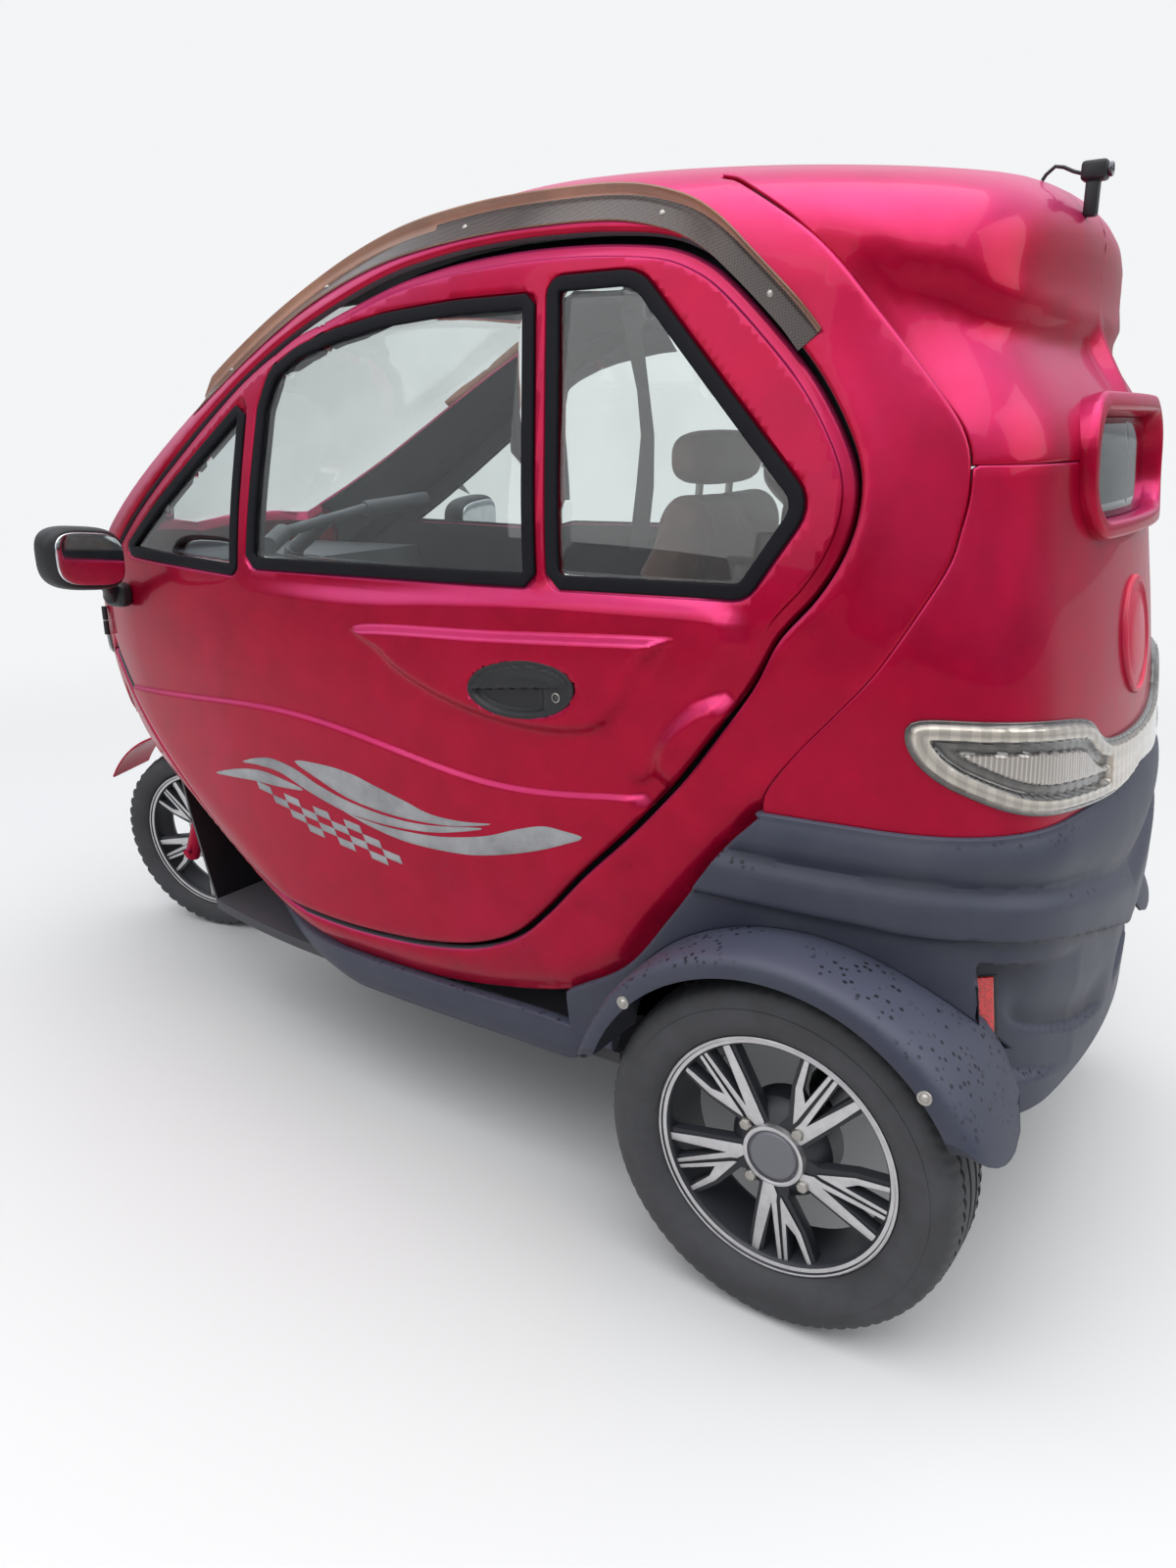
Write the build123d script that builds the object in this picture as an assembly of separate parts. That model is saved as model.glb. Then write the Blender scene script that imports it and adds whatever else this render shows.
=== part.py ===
from build123d import *
import math
import os

# Enclosed three-wheeled mobility scooter: one steered wheel in front, two driven wheels behind.
# Millimetres. X points forward, Y to the vehicle's left, Z up, and Z = 0 is the ground.
# Lengths along the vehicle are measured from the rear axle; the finished pieces are moved
# so that the origin lies on the ground below the middle of the whole vehicle.

# Overall layout
TAIL_X = -313.0
FRONT_REACH_X = 1950.6
ORIGIN_X = (TAIL_X + FRONT_REACH_X) / 2
WHEELBASE = 1700.0
WHEEL_Y = 435.0
TYRE_R = 247.0
TYRE_W = 135.0
FRONT_TYRE_R = 226.0
FRONT_TYRE_W = 104.0
FRONT_AXLE_Z = FRONT_TYRE_R + 1.25
STEER_REST_DEG = 13.0
RAKE_DEG = 24.0
TRAIL = 62.0

# Body walls, glass and running gaps
WALL = 34.0
DOOR_GAP = 10.0
PANEL_GAP = 0.8
GLASS_T = 5.0
GLASS_DEPTH = 9.0
SEAT_CLEAR = 0.3

# Heights of the body's parts
BODY_BOTTOM_Z = 225.0
SILL_Z = 290.0
BELT_Z = 925.0
SHOULDER_Z = 1400.0
BUMPER_TOP_Z = 702.0
BUMPER_BOTTOM_Z = 310.0
TAIL_SEAM_Z = 1118.0
FLOOR_T = 20.0
FLOOR_TOP_Z = BODY_BOTTOM_Z + FLOOR_T

# Plan outline of the left half at four heights. Columns: height, tail centre x, then (x, y) of
# the tail corner's start, middle and end, the widest place, the front quarter's start and
# middle, the nose corner, and last the nose centre x.
PLAN_LEVELS = (
    (BODY_BOTTOM_Z, -305.0, (-275.0, 300.0), (-240.0, 352.0), (-160.0, 378.0), (420.0, 400.0),
     (1000.0, 383.0), (1270.0, 350.0), (1500.0, 292.0), 1690.0),
    (BELT_Z, -274.0, (-240.0, 322.0), (-203.0, 402.0), (-120.0, 446.0), (430.0, 481.0),
     (1000.0, 451.0), (1290.0, 408.0), (1560.0, 318.0), 1850.0),
    (SHOULDER_Z, -192.0, (-166.0, 262.0), (-136.0, 322.0), (-60.0, 360.0), (400.0, 390.0),
     (900.0, 362.0), (1180.0, 330.0), (1420.0, 268.0), 1650.0),
    (1560.0, -150.0, (-128.0, 180.0), (-100.0, 232.0), (-30.0, 262.0), (380.0, 282.0),
     (800.0, 262.0), (1080.0, 232.0), (1300.0, 180.0), 1480.0),
)

# Centre-line profile from the bottom of the tail, along the floor, up the nose and back over
# the roof. Columns: kind, middle point of an arc, end point, as (x, z).
PROFILE_START = (TAIL_X + 45.0, BODY_BOTTOM_Z)
PROFILE = (
    ("line", None, (1290.0, BODY_BOTTOM_Z)),
    ("line", None, (1660.0, 500.0)),
    ("arc", (1800.0, 640.0), (1840.0, 790.0)),
    ("arc", (1812.0, 872.0), (1738.0, BELT_Z)),
    ("arc", (1385.0, 1160.0), (1000.0, 1365.0)),
    ("arc", (720.0, 1462.0), (400.0, 1505.0)),
    ("arc", (120.0, 1489.0), (-140.0, 1446.0)),
    ("arc", (-178.0, 1424.0), (-191.0, 1380.0)),
    ("line", None, (-196.0, 1262.0)),
    ("line", None, (-238.0, 1190.0)),
    ("line", None, (-286.0, BUMPER_TOP_Z)),
    ("line", None, (TAIL_X, BUMPER_TOP_Z - 12.0)),
    ("line", None, (TAIL_X, 420.0)),
)
CROWN_AXIS_Z = 120.0
CROWN_SWING_DEG = 176.0

# Side-view outlines as (x, z, corner radius)
DOOR_OUTLINE = (
    (1560.0, 792.0, 30.0), (1478.0, 930.0, 20.0), (985.0, 1272.0, 60.0), (730.0, 1372.0, 300.0),
    (250.0, 1408.0, 160.0), (-62.0, 1112.0, 110.0), (30.0, 905.0, 60.0), (385.0, 440.0, 160.0),
    (560.0, 346.0, 160.0), (1100.0, 336.0, 150.0),
)
FRONT_WINDOW = (
    (968.0, 958.0, 22.0), (935.0, 1240.0, 40.0), (760.0, 1300.0, 200.0), (432.0, 1330.0, 18.0),
    (390.0, 958.0, 22.0),
)
REAR_SIDE_WINDOW = (
    (362.0, 962.0, 24.0), (392.0, 1336.0, 24.0), (245.0, 1338.0, 70.0), (22.0, 1082.0, 50.0),
    (92.0, 968.0, 40.0),
)
QUARTER_WINDOW = ((1400.0, 958.0, 16.0), (1008.0, 1228.0, 16.0), (1030.0, 952.0, 14.0))
DOOR_WINDOWS = (FRONT_WINDOW, REAR_SIDE_WINDOW, QUARTER_WINDOW)
DOOR_INNER_Y = 100.0
SIDE_REACH_Y = 700.0

# Seam between the cabin shell and the tail shells, and the lower edge of the painted shell
TAIL_SEAM = (
    (190.0, 1446.0), (42.0, 1362.0), (-70.0, 1250.0), (-140.0, 1150.0), (-158.0, 1090.0),
    (-142.0, 1000.0), (-90.0, 901.0), (4.0, 787.0), (41.0, 735.0), (47.0, BUMPER_TOP_Z),
)
LOWER_EDGE = (
    (47.0, BUMPER_TOP_Z), (103.0, 643.0), (180.0, 533.0), (275.0, 420.0), (374.0, 353.0),
    (528.0, 310.0), (680.0, SILL_Z), (1180.0, SILL_Z), (1279.0, 305.0), (1393.0, 400.0),
    (1489.0, 543.0), (1545.0, 640.0),
)
NOSE_SEAM_X = 1545.0
SILL_X = (376.0, 1282.0)

# Windscreen and rear window
SCREEN_TOP_X = 960.0
PILLAR_W = 52.0
SCREEN_BASE_Z = 958.0
REAR_WINDOW_Y = 300.0
REAR_WINDOW_LOW_Z = 1046.0
REAR_WINDOW_HIGH_Z = 1172.0
REAR_WINDOW_R = 50.0
SURROUND_W = 26.0
SURROUND_PROUD = 16.0

# Front wheel well
WELL_HALF_W = 232.0
WELL_TOP_Z = 585.0
WELL_BACK_X = 1392.0
LINER_T = 10.0
HEAD_OUTER_R = 30.0
HEAD_LOW_Z = 548.0
HEAD_HIGH_Z = 720.0
STEERER_R = 20.0
RUNNING_GAP = 0.05

# Steering fork and handlebar
FORK_LEG_R = 17.0
FORK_LEG_Y = 84.0
FORK_CROWN_T = 26.0
FRONT_AXLE_R = 8.0
BRACKET_R = 7.0
FRONT_AXLE_HALF = 112.0
BAR_R = 11.0
BAR_Z = 985.0
GRIP_R = 17.0

# Wheels
RIM_R = 171.0
RIM_HALF_W = 50.0
FRONT_RIM_HALF_W = 38.0
BEAD_R = 152.0
RIM_WALL = 4.0
FLANGE_T = 6.0
HUB_R = 38.0
SPOKE_GROUPS = 5
SPOKE_T = 12.0
# Bars of one spoke group. Columns: inner radius, its angle, outer radius, its angle, width
SPOKE_BARS = (
    (30.0, 0.0, 78.0, -22.0, 16.0), (76.0, -22.0, 150.0, -17.0, 11.0), (34.0, 0.0, 150.0, -3.0, 8.0),
    (34.0, 6.0, 150.0, 5.0, 8.0), (30.0, 20.0, 150.0, 17.0, 15.0),
)
REAR_STUB_R = 14.0
FRONT_MUDGUARD_R = 276.0
FRONT_MUDGUARD_HALF_W = 60.0
FRONT_MUDGUARD_FROM = 33.0
FRONT_MUDGUARD_TO = 150.0
MUDGUARD_R = 300.0
MUDGUARD_T = 4.0
MUDGUARD_IN_Y = 350.0
WHEELHOUSE_LOW_Z = TYRE_R + 62.0
MUDGUARD_OUT_Y = 530.0
MUDGUARD_FROM = 8.0
MUDGUARD_TO = 168.0
ARCH_R = MUDGUARD_R + SEAT_CLEAR
ARCH_IN_Y = 322.0

# Chassis
RAIL_Y = 190.0
RAIL_W = 40.0
RAIL_Z = (176.0, BODY_BOTTOM_Z - SEAT_CLEAR)
RAIL_FRONT_X = 1290.0
RAIL_BACK_X = -230.0
RAIL_HIGH_Z = (400.0, 448.0)
RAIL_KICK = ((120.0, RAIL_HIGH_Z[1]), (RAIL_BACK_X, RAIL_HIGH_Z[1]), (RAIL_BACK_X, RAIL_HIGH_Z[0]),
             (95.0, RAIL_HIGH_Z[0]))
CROSS_X = (330.0, 760.0)
CROSS_HIGH_X = (RAIL_BACK_X, 70.0)
SPRING_R = 27.0
SEAT_BASE_Z = 540.0
HINGE_X = 1566.0
HINGE_Z = (770.0, 800.0, 830.0)
HINGE_R = 7.0
HINGE_PIN_R = 3.0
HINGE_LEAF_T = 4.0
HINGE_LEAF_L = 44.0
MOVING_CLEAR = 6.0
AXLE_TUBE_R = 34.0
DIFF_R = 92.0
DIFF_HALF_W = 70.0
AXLE_END_Y = 352.0
STUB_END_Y = 470.0
MOTOR_R = 82.0
NECK_HALF_W = 22.0
FLOOR_FRONT_X = 1330.0
DASH_OUTLINE = ((1330.0, 905.0), (1300.0, 800.0), (1420.0, 780.0), (1700.0, 800.0),
                (1850.0, 860.0), (1690.0, 915.0))
DASH_WIDE_X = 1578.0
FLOOR_BACK_X = 310.0
COLUMN_HOLE_R = 62.0
BEAD_GAP = 0.5
HUB_HALF = 40.0
TYRE_WALL = 9.0
MUDGUARD_LIP = 22.0

# Lamps, handles and small outside pieces
LAMP_PROUD = 6.0
TAIL_LAMP_IN_Y = 150.0
TAIL_LAMP = ((-133.0, 838.0, 4.0), (-150.0, 795.0, 20.0), (-200.0, 738.0, 40.0),
             (-400.0, 732.0, 4.0), (-400.0, 838.0, 4.0))
HEADLAMP = ((1600.0, 700.0, 20.0), (1900.0, 700.0, 20.0), (1900.0, 800.0, 20.0),
            (1650.0, 800.0, 20.0))
TAIL_DISC_R = 80.0
TAIL_DISC_Z = 890.0
MIRROR_AT = (1305.0, 520.0, 955.0)
HANDLE = ((480.0, 824.0, 14.0), (450.0, 868.0, 20.0), (340.0, 868.0, 20.0), (308.0, 835.0, 14.0),
          (340.0, 798.0, 20.0), (440.0, 792.0, 20.0))
HANDLE_T = 8.0
PAD = ((706.0, 884.0, 6.0), (178.0, 912.0, 6.0), (216.0, 836.0, 60.0), (261.0, 780.0, 30.0),
       (330.0, 764.0, 40.0), (430.0, 764.0, 60.0), (620.0, 812.0, 60.0))
PAD_PROUD = 12.0
LATCH_HOOD = ((196.0, 722.0, 10.0), (184.0, 784.0, 14.0), (136.0, 836.0, 10.0), (100.0, 846.0, 8.0),
              (86.0, 824.0, 8.0), (140.0, 748.0, 10.0))
LATCH_PROUD = 18.0
LOWER_PANEL = ((226.0, 697.0, 4.0), (470.0, 681.0, 300.0), (880.0, 730.0, 500.0), (1130.0, 722.0, 200.0),
               (1440.0, 694.0, 4.0), (1380.0, 630.0, 30.0), (1158.0, 432.0, 100.0), (1080.0, 352.0, 100.0),
               (580.0, 362.0, 120.0), (400.0, 452.0, 120.0))
LOWER_PROUD = 4.0
BUMPER_BANDS = ((612.0, 696.0, 10.0), (546.0, 600.0, 9.0))
BUMPER_BAND_FRONT_X = 330.0
VISOR_REACH = 44.0
WIPER_T = 8.0
WIPER_PLAN = ((1752.0, 8.0), (1752.0, 28.0), (1480.0, 200.0), (1474.0, 190.0), (1736.0, 8.0))

nodes = {}


def v(x, z):
    """A point of a side view."""
    return Vector(x, 0, z)


def extrude_y(face, y_low, y_high):
    return extrude(face, amount=y_high - y_low, dir=(0, 1, 0)).moved(Location((0, y_low, 0)))


def prism(points, y_low, y_high):
    """Straight-edged side-view outline, extruded from y_low to y_high."""
    face = make_face(Polyline([v(x, z) for x, z in points], close=True))
    return extrude_y(face, y_low, y_high)


def rounded_prism(corners, y_low, y_high, grow=0.0):
    """Side-view outline with rounded corners; grow moves its sides outwards."""
    outline = FilletPolyline([v(x, z) for x, z, r in corners],
                             radius=[r for x, z, r in corners], close=True)
    face = make_face(outline)
    if grow:
        face = make_face(offset(face, amount=grow).faces()[0].outer_wire().edges())
    return extrude_y(face, y_low, y_high)


def box(x_range, y_range, z_range):
    size = [high - low for low, high in (x_range, y_range, z_range)]
    middle = [(high + low) / 2 for low, high in (x_range, y_range, z_range)]
    return Box(*size).moved(Location(middle))


def rod(start, end, radius):
    """Round bar from start to end."""
    start, end = Vector(*start), Vector(*end)
    plane = Plane(origin=start, z_dir=end - start)
    return extrude(plane * Circle(radius), amount=(end - start).length)


def plan_face(level, inset):
    """Plan outline of the body at one height, moved inwards by inset."""
    z, tail_x, corner_a, corner_m, corner_b, side, quarter, quarter_m, nose, nose_x = level
    a = (corner_a[0] + inset, corner_a[1] - inset * 0.2)
    am = (corner_m[0] + inset * 0.7, corner_m[1] - inset * 0.7)
    b = (corner_b[0] + inset * 0.2, corner_b[1] - inset)
    s = (side[0], side[1] - inset)
    q = (quarter[0], quarter[1] - inset)
    qm = (quarter_m[0], quarter_m[1] - inset)
    n = (nose[0] - inset * 0.5, nose[1] - inset * 0.9)

    def arc(p, m, e):
        return ThreePointArc(Vector(*p, z), Vector(*m, z), Vector(*e, z))

    def flip(p):
        return (p[0], -p[1])

    edges = [
        arc(flip(a), (tail_x + inset, 0), a), arc(a, am, b), arc(b, s, q), arc(q, qm, n),
        arc(n, (nose_x - inset, 0), flip(n)), arc(flip(n), flip(qm), flip(q)),
        arc(flip(q), flip(s), flip(b)), arc(flip(b), flip(am), flip(a)),
    ]
    return make_face(edges)


def side_form(inset):
    """The body's sides, ruled between the plan outlines."""
    return loft([plan_face(level, inset) for level in PLAN_LEVELS], ruled=True)


def profile_points(inset):
    """Points of the centre-line profile, each moved inwards by inset."""
    points = [v(*PROFILE_START)]
    for kind, middle, end in PROFILE:
        if kind == "arc":
            points.append(v(*middle))
        points.append(v(*end))
    moved = []
    for index, point in enumerate(points):
        before = (point - points[index - 1]).normalized()
        after = (points[(index + 1) % len(points)] - point).normalized()
        normal_before = Vector(-before.Z, 0, before.X)
        normal_after = Vector(-after.Z, 0, after.X)
        normal = (normal_before + normal_after).normalized()
        reach = inset / max(0.5, normal.dot(normal_before))
        moved.append(point + normal * reach)
    return moved


def profile_form(inset):
    """The centre-line profile swung about an axis along the vehicle, for the crown of the roof."""
    points = profile_points(inset)
    edges = []
    index = 0
    for kind, middle, end in PROFILE:
        if kind == "arc":
            edges.append(ThreePointArc(points[index], points[index + 1], points[index + 2]))
            index += 2
        else:
            edges.append(Line(points[index], points[index + 1]))
            index += 1
    edges.append(Line(points[index], points[0]))
    axis = Axis((0, 0, CROWN_AXIS_Z), (1, 0, 0))
    face = make_face(edges).rotate(axis, -CROWN_SWING_DEG / 2)
    return revolve(face, axis, CROWN_SWING_DEG)


def body_form(inset):
    """The whole body's outer form, moved inwards by inset."""
    return side_form(inset) & profile_form(inset)


def mirrored(shape):
    """Mirror image of a piece on the other side of the vehicle."""
    solids = [solid.mirror(Plane.XZ) for solid in shape.solids()]
    return solids[0] if len(solids) == 1 else Compound(children=solids)


def pair(shape):
    """A left-hand piece and its mirror image."""
    return Compound(children=list(shape.solids()) + list(mirrored(shape).solids()))


def steering_axis_x(z):
    """Where the steering axis crosses the height z, on the centre line."""
    return WHEELBASE + TRAIL - z * math.tan(math.radians(RAKE_DEG))


STEER_AXIS = Axis((WHEELBASE + TRAIL, 0, 0),
                  (-math.sin(math.radians(RAKE_DEG)), 0, math.cos(math.radians(RAKE_DEG))))


def on_steering_axis(z):
    return Vector(steering_axis_x(z), 0, z)


def steered(shape):
    """Turns a piece of the front end to the steering's rest angle."""
    return shape.rotate(STEER_AXIS, STEER_REST_DEG)


# Body forms used by every panel
outer = body_form(0.0)
inner = body_form(WALL)
inside = body_form(WALL + SEAT_CLEAR)
inside_moving = body_form(WALL + MOVING_CLEAR)
shell = outer - inner
glass_skin = body_form(GLASS_DEPTH) - body_form(GLASS_DEPTH + GLASS_T)

door_hole = rounded_prism(DOOR_OUTLINE, DOOR_INNER_Y, SIDE_REACH_Y, DOOR_GAP)
wheel_arch = Cylinder(ARCH_R, SIDE_REACH_Y - ARCH_IN_Y, rotation=(90, 0, 0)).moved(
    Location((0, (SIDE_REACH_Y + ARCH_IN_Y) / 2, TYRE_R)))
wheel_arches = wheel_arch + mirrored(wheel_arch)
front_well = box((WELL_BACK_X, 2000.0), (-WELL_HALF_W, WELL_HALF_W), (0.0, WELL_TOP_Z))



def surface_y(x, z):
    """Half width of the body's outer face at a point of the side view."""
    column = outer & box((x - 0.5, x + 0.5), (0, SIDE_REACH_Y), (z - 0.5, z + 0.5))
    return column.bounding_box().max.Y


# Door hinge: the lower knuckle and leaf belong to the door, the upper ones and the pin to the nose
hinge_y = surface_y(HINGE_X, HINGE_Z[1]) + HINGE_R + SEAT_CLEAR
hinge_skin = body_form(-HINGE_LEAF_T) - body_form(-SEAT_CLEAR)
hinge_root = body_form(-SEAT_CLEAR) - body_form(2)
door_side = rounded_prism(DOOR_OUTLINE, DOOR_INNER_Y, SIDE_REACH_Y)
door_leaf_room = box((HINGE_X - HINGE_LEAF_L, HINGE_X), (200, 500),
                     (HINGE_Z[0], HINGE_Z[1] - SEAT_CLEAR))
nose_leaf_room = box((HINGE_X, HINGE_X + HINGE_LEAF_L), (200, 500), (HINGE_Z[1], HINGE_Z[2]))
door_knuckle = rod((HINGE_X, hinge_y, HINGE_Z[0]), (HINGE_X, hinge_y, HINGE_Z[1] - SEAT_CLEAR), HINGE_R)
door_knuckle = door_knuckle + (hinge_skin & door_leaf_room) + (hinge_root & door_leaf_room & door_side)
door_knuckle = door_knuckle - rod((HINGE_X, hinge_y, HINGE_Z[0] - 5), (HINGE_X, hinge_y, HINGE_Z[2]),
                                  HINGE_PIN_R + RUNNING_GAP)
nose_knuckle = rod((HINGE_X, hinge_y, HINGE_Z[1]), (HINGE_X, hinge_y, HINGE_Z[2]), HINGE_R)
nose_knuckle = nose_knuckle + (hinge_skin & nose_leaf_room) + (
    (hinge_root & nose_leaf_room) - door_hole)
nose_knuckle = nose_knuckle + rod((HINGE_X, hinge_y, HINGE_Z[0]), (HINGE_X, hinge_y, HINGE_Z[2]),
                                  HINGE_PIN_R)

# Regions of the side view that the shells are split along
FAR = 3000.0
tail_region = prism(TAIL_SEAM + ((-FAR, BUMPER_TOP_Z), (-FAR, 1600.0), (190.0, 1600.0)),
                    -SIDE_REACH_Y, SIDE_REACH_Y)
above_lower_edge = prism(LOWER_EDGE + ((NOSE_SEAM_X, 1700.0), (-FAR, 1700.0),
                                       (-FAR, BUMPER_TOP_Z)), -SIDE_REACH_Y, SIDE_REACH_Y)
nose_region = box((NOSE_SEAM_X + PANEL_GAP, FAR), (-SIDE_REACH_Y, SIDE_REACH_Y), (0, 1700))


def split_gap(points, width):
    """Thin prism along a seam, which leaves a real gap between two panels."""
    strips = []
    for (x1, z1), (x2, z2) in zip(points, points[1:]):
        run = math.hypot(x2 - x1, z2 - z1)
        nx, nz = -(z2 - z1) / run * width / 2, (x2 - x1) / run * width / 2
        strips.append(prism(((x1 + nx, z1 + nz), (x2 + nx, z2 + nz), (x2 - nx, z2 - nz),
                             (x1 - nx, z1 - nz)), -SIDE_REACH_Y, SIDE_REACH_Y))
    return strips


# Windscreen opening: the middle of the front, inside the two pillars
screen_region = prism(((SCREEN_TOP_X, 1280.0), (SCREEN_TOP_X - 60.0, 1500.0), (1900.0, 1500.0),
                       (1900.0, SCREEN_BASE_Z), (1500.0, SCREEN_BASE_Z)),
                      -SIDE_REACH_Y, SIDE_REACH_Y)
screen_hole = side_form(PILLAR_W) & screen_region
screen_fit = side_form(PILLAR_W + SEAT_CLEAR) & prism(
    ((SCREEN_TOP_X + 1, 1280.0), (SCREEN_TOP_X - 59.0, 1500.0), (1900.0, 1500.0),
     (1900.0, SCREEN_BASE_Z + SEAT_CLEAR), (1500.0, SCREEN_BASE_Z + SEAT_CLEAR)),
    -SIDE_REACH_Y, SIDE_REACH_Y)

# Rear window opening, seen from behind
window_mid_z = (REAR_WINDOW_LOW_Z + REAR_WINDOW_HIGH_Z) / 2
window_h = REAR_WINDOW_HIGH_Z - REAR_WINDOW_LOW_Z


def rear_slot(grow):
    """Rounded slot in the tail, moved outwards by grow."""
    plane = Plane(origin=(-600, 0, window_mid_z), x_dir=(0, 1, 0), z_dir=(1, 0, 0))
    outline = plane * RectangleRounded(2 * (REAR_WINDOW_Y + grow), window_h + 2 * grow,
                                       REAR_WINDOW_R + grow)
    return extrude(outline, amount=560)


rear_hole = rear_slot(0.0)
screens = glass_skin & screen_fit
rear_glass = glass_skin & rear_slot(-SEAT_CLEAR)
surround = (body_form(-SURROUND_PROUD) - body_form(WALL / 2)) & (
    rear_slot(SURROUND_W) - rear_slot(0.0))

# Painted shells
painted = (shell & above_lower_edge) - door_hole - mirrored(door_hole)
tail = shell & tail_region
surround_room = rear_slot(SURROUND_W + SEAT_CLEAR)
cabin = painted - tail_region
for strip in split_gap(TAIL_SEAM, PANEL_GAP):
    cabin = cabin - strip
cabin = cabin - screen_hole - front_well
tail_upper = (tail & box((-FAR, FAR), (-FAR, FAR), (TAIL_SEAM_Z + PANEL_GAP, 1700))) - surround_room
tail_lower = (tail & box((-FAR, FAR), (-FAR, FAR), (BUMPER_TOP_Z, TAIL_SEAM_Z))) - surround_room
nose = (shell & nose_region) - screen_hole - front_well - door_hole - mirrored(door_hole)
nose = nose + nose_knuckle + mirrored(nose_knuckle)
lower_region = prism(((-FAR, BUMPER_TOP_Z - PANEL_GAP),) +
                     tuple((x - PANEL_GAP, z - PANEL_GAP) for x, z in LOWER_EDGE[:6]) +
                     ((374.0, BUMPER_BOTTOM_Z - 40), (60.0, BUMPER_BOTTOM_Z - 40),
                      (-120.0, BUMPER_BOTTOM_Z), (-FAR, BUMPER_BOTTOM_Z)),
                     -SIDE_REACH_Y, SIDE_REACH_Y)
sill_room = box((SILL_X[0] - PANEL_GAP, SILL_X[1]), (-SIDE_REACH_Y, SIDE_REACH_Y), (0.0, SILL_Z))
bumper = (shell & lower_region) - wheel_arches - box((-FAR, FAR), (-280, 280), (0, 262)) - sill_room
for low, high, proud in BUMPER_BANDS:
    band = (body_form(-proud) - body_form(SEAT_CLEAR)) & lower_region
    band = band & box((-FAR, BUMPER_BAND_FRONT_X), (-FAR, FAR), (low, high))
    bumper = bumper + (band - wheel_arches)
sill_region = box(SILL_X, (300.0, SIDE_REACH_Y), (0.0, SILL_Z - PANEL_GAP))
sill = (outer & sill_region) - side_form(WALL)

nodes["cabin_shell"] = cabin
nodes["tail_shell_upper"] = tail_upper
nodes["tail_shell_lower"] = tail_lower
nodes["rear_window_surround"] = surround
nodes["nose_shell"] = nose
nodes["rear_bumper"] = bumper
nodes["sills"] = pair(sill)
nodes["windscreen"] = screens
nodes["rear_window"] = rear_glass

# Doors
door_blank = shell & rounded_prism(DOOR_OUTLINE, DOOR_INNER_Y, SIDE_REACH_Y)
for window in DOOR_WINDOWS:
    door_blank = door_blank - rounded_prism(window, DOOR_INNER_Y, SIDE_REACH_Y)
door_blank = door_blank + door_knuckle


def raised(outline, proud):
    """A field of the door that stands proud of its skin."""
    return (body_form(-proud) - body_form(SEAT_CLEAR)) & rounded_prism(outline, DOOR_INNER_Y,
                                                                      SIDE_REACH_Y)


for outline, proud in ((PAD, PAD_PROUD), (LATCH_HOOD, LATCH_PROUD), (LOWER_PANEL, LOWER_PROUD)):
    door_blank = door_blank + raised(outline, proud)
panes = []
for window in DOOR_WINDOWS:
    panes.extend((glass_skin & rounded_prism(window, DOOR_INNER_Y, SIDE_REACH_Y,
                                             -SEAT_CLEAR)).solids())
door_glass = Compound(children=panes)
nodes["door_left"] = door_blank
nodes["door_right"] = mirrored(door_blank)
nodes["door_glass_left"] = door_glass
nodes["door_glass_right"] = mirrored(door_glass)

# Chassis: two rails and cross members, floor, steering head, rear axle, battery
rail_outline = ((225.0, RAIL_Z[0]), (RAIL_FRONT_X, RAIL_Z[0]), (RAIL_FRONT_X, RAIL_Z[1]),
                (250.0, RAIL_Z[1])) + RAIL_KICK
rail = prism(rail_outline, RAIL_Y - RAIL_W / 2, RAIL_Y + RAIL_W / 2)
cross_half = RAIL_Y - RAIL_W / 2 - SEAT_CLEAR
frame = [rail, mirrored(rail)]
for x in CROSS_X:
    frame.append(box((x, x + RAIL_W), (-cross_half, cross_half), RAIL_Z))
for x in CROSS_HIGH_X:
    frame.append(box((x, x + RAIL_W), (-cross_half, cross_half), RAIL_HIGH_Z))
head_low = on_steering_axis(HEAD_LOW_Z)
head_high = on_steering_axis(HEAD_HIGH_Z)
head_tube = rod(head_low, head_high, HEAD_OUTER_R)
neck = prism(((1250.0, RAIL_Z[0]), (1290.0, RAIL_Z[0]), (1325.0, 300.0), (1395.0, 598.0),
              (1480.0, 628.0), (1450.0, 690.0), (1370.0, 650.0), (1262.0, 300.0)),
             -NECK_HALF_W, NECK_HALF_W)
head = box((1230.0, RAIL_FRONT_X), (-cross_half, cross_half), RAIL_Z) + neck + head_tube
head = head - rod(on_steering_axis(HEAD_LOW_Z - 60), on_steering_axis(HEAD_HIGH_Z + 60),
                  STEERER_R + RUNNING_GAP)
frame.append(head)
nodes["chassis_frame"] = Compound(children=[solid for piece in frame for solid in piece.solids()])

floor = side_form(WALL + SEAT_CLEAR) & box((FLOOR_BACK_X, FLOOR_FRONT_X), (-500, 500),
                                           (BODY_BOTTOM_Z, FLOOR_TOP_Z))
neck_half = NECK_HALF_W + SEAT_CLEAR
floor = floor - box((1240.0, FLOOR_FRONT_X + 1), (-neck_half, neck_half), (0, 400))
nodes["floor_pan"] = floor

axle_tube = rod((0, -AXLE_END_Y, TYRE_R), (0, AXLE_END_Y, TYRE_R), AXLE_TUBE_R)
diff = rod((0, -DIFF_HALF_W, TYRE_R), (0, DIFF_HALF_W, TYRE_R), DIFF_R)
stubs = rod((0, -STUB_END_Y, TYRE_R), (0, STUB_END_Y, TYRE_R), REAR_STUB_R)
rear_axle = axle_tube + diff + stubs
motor = rod((60.0, 0, TYRE_R), (300.0, 0, TYRE_R), MOTOR_R)
nodes["rear_axle"] = rear_axle + motor

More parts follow.
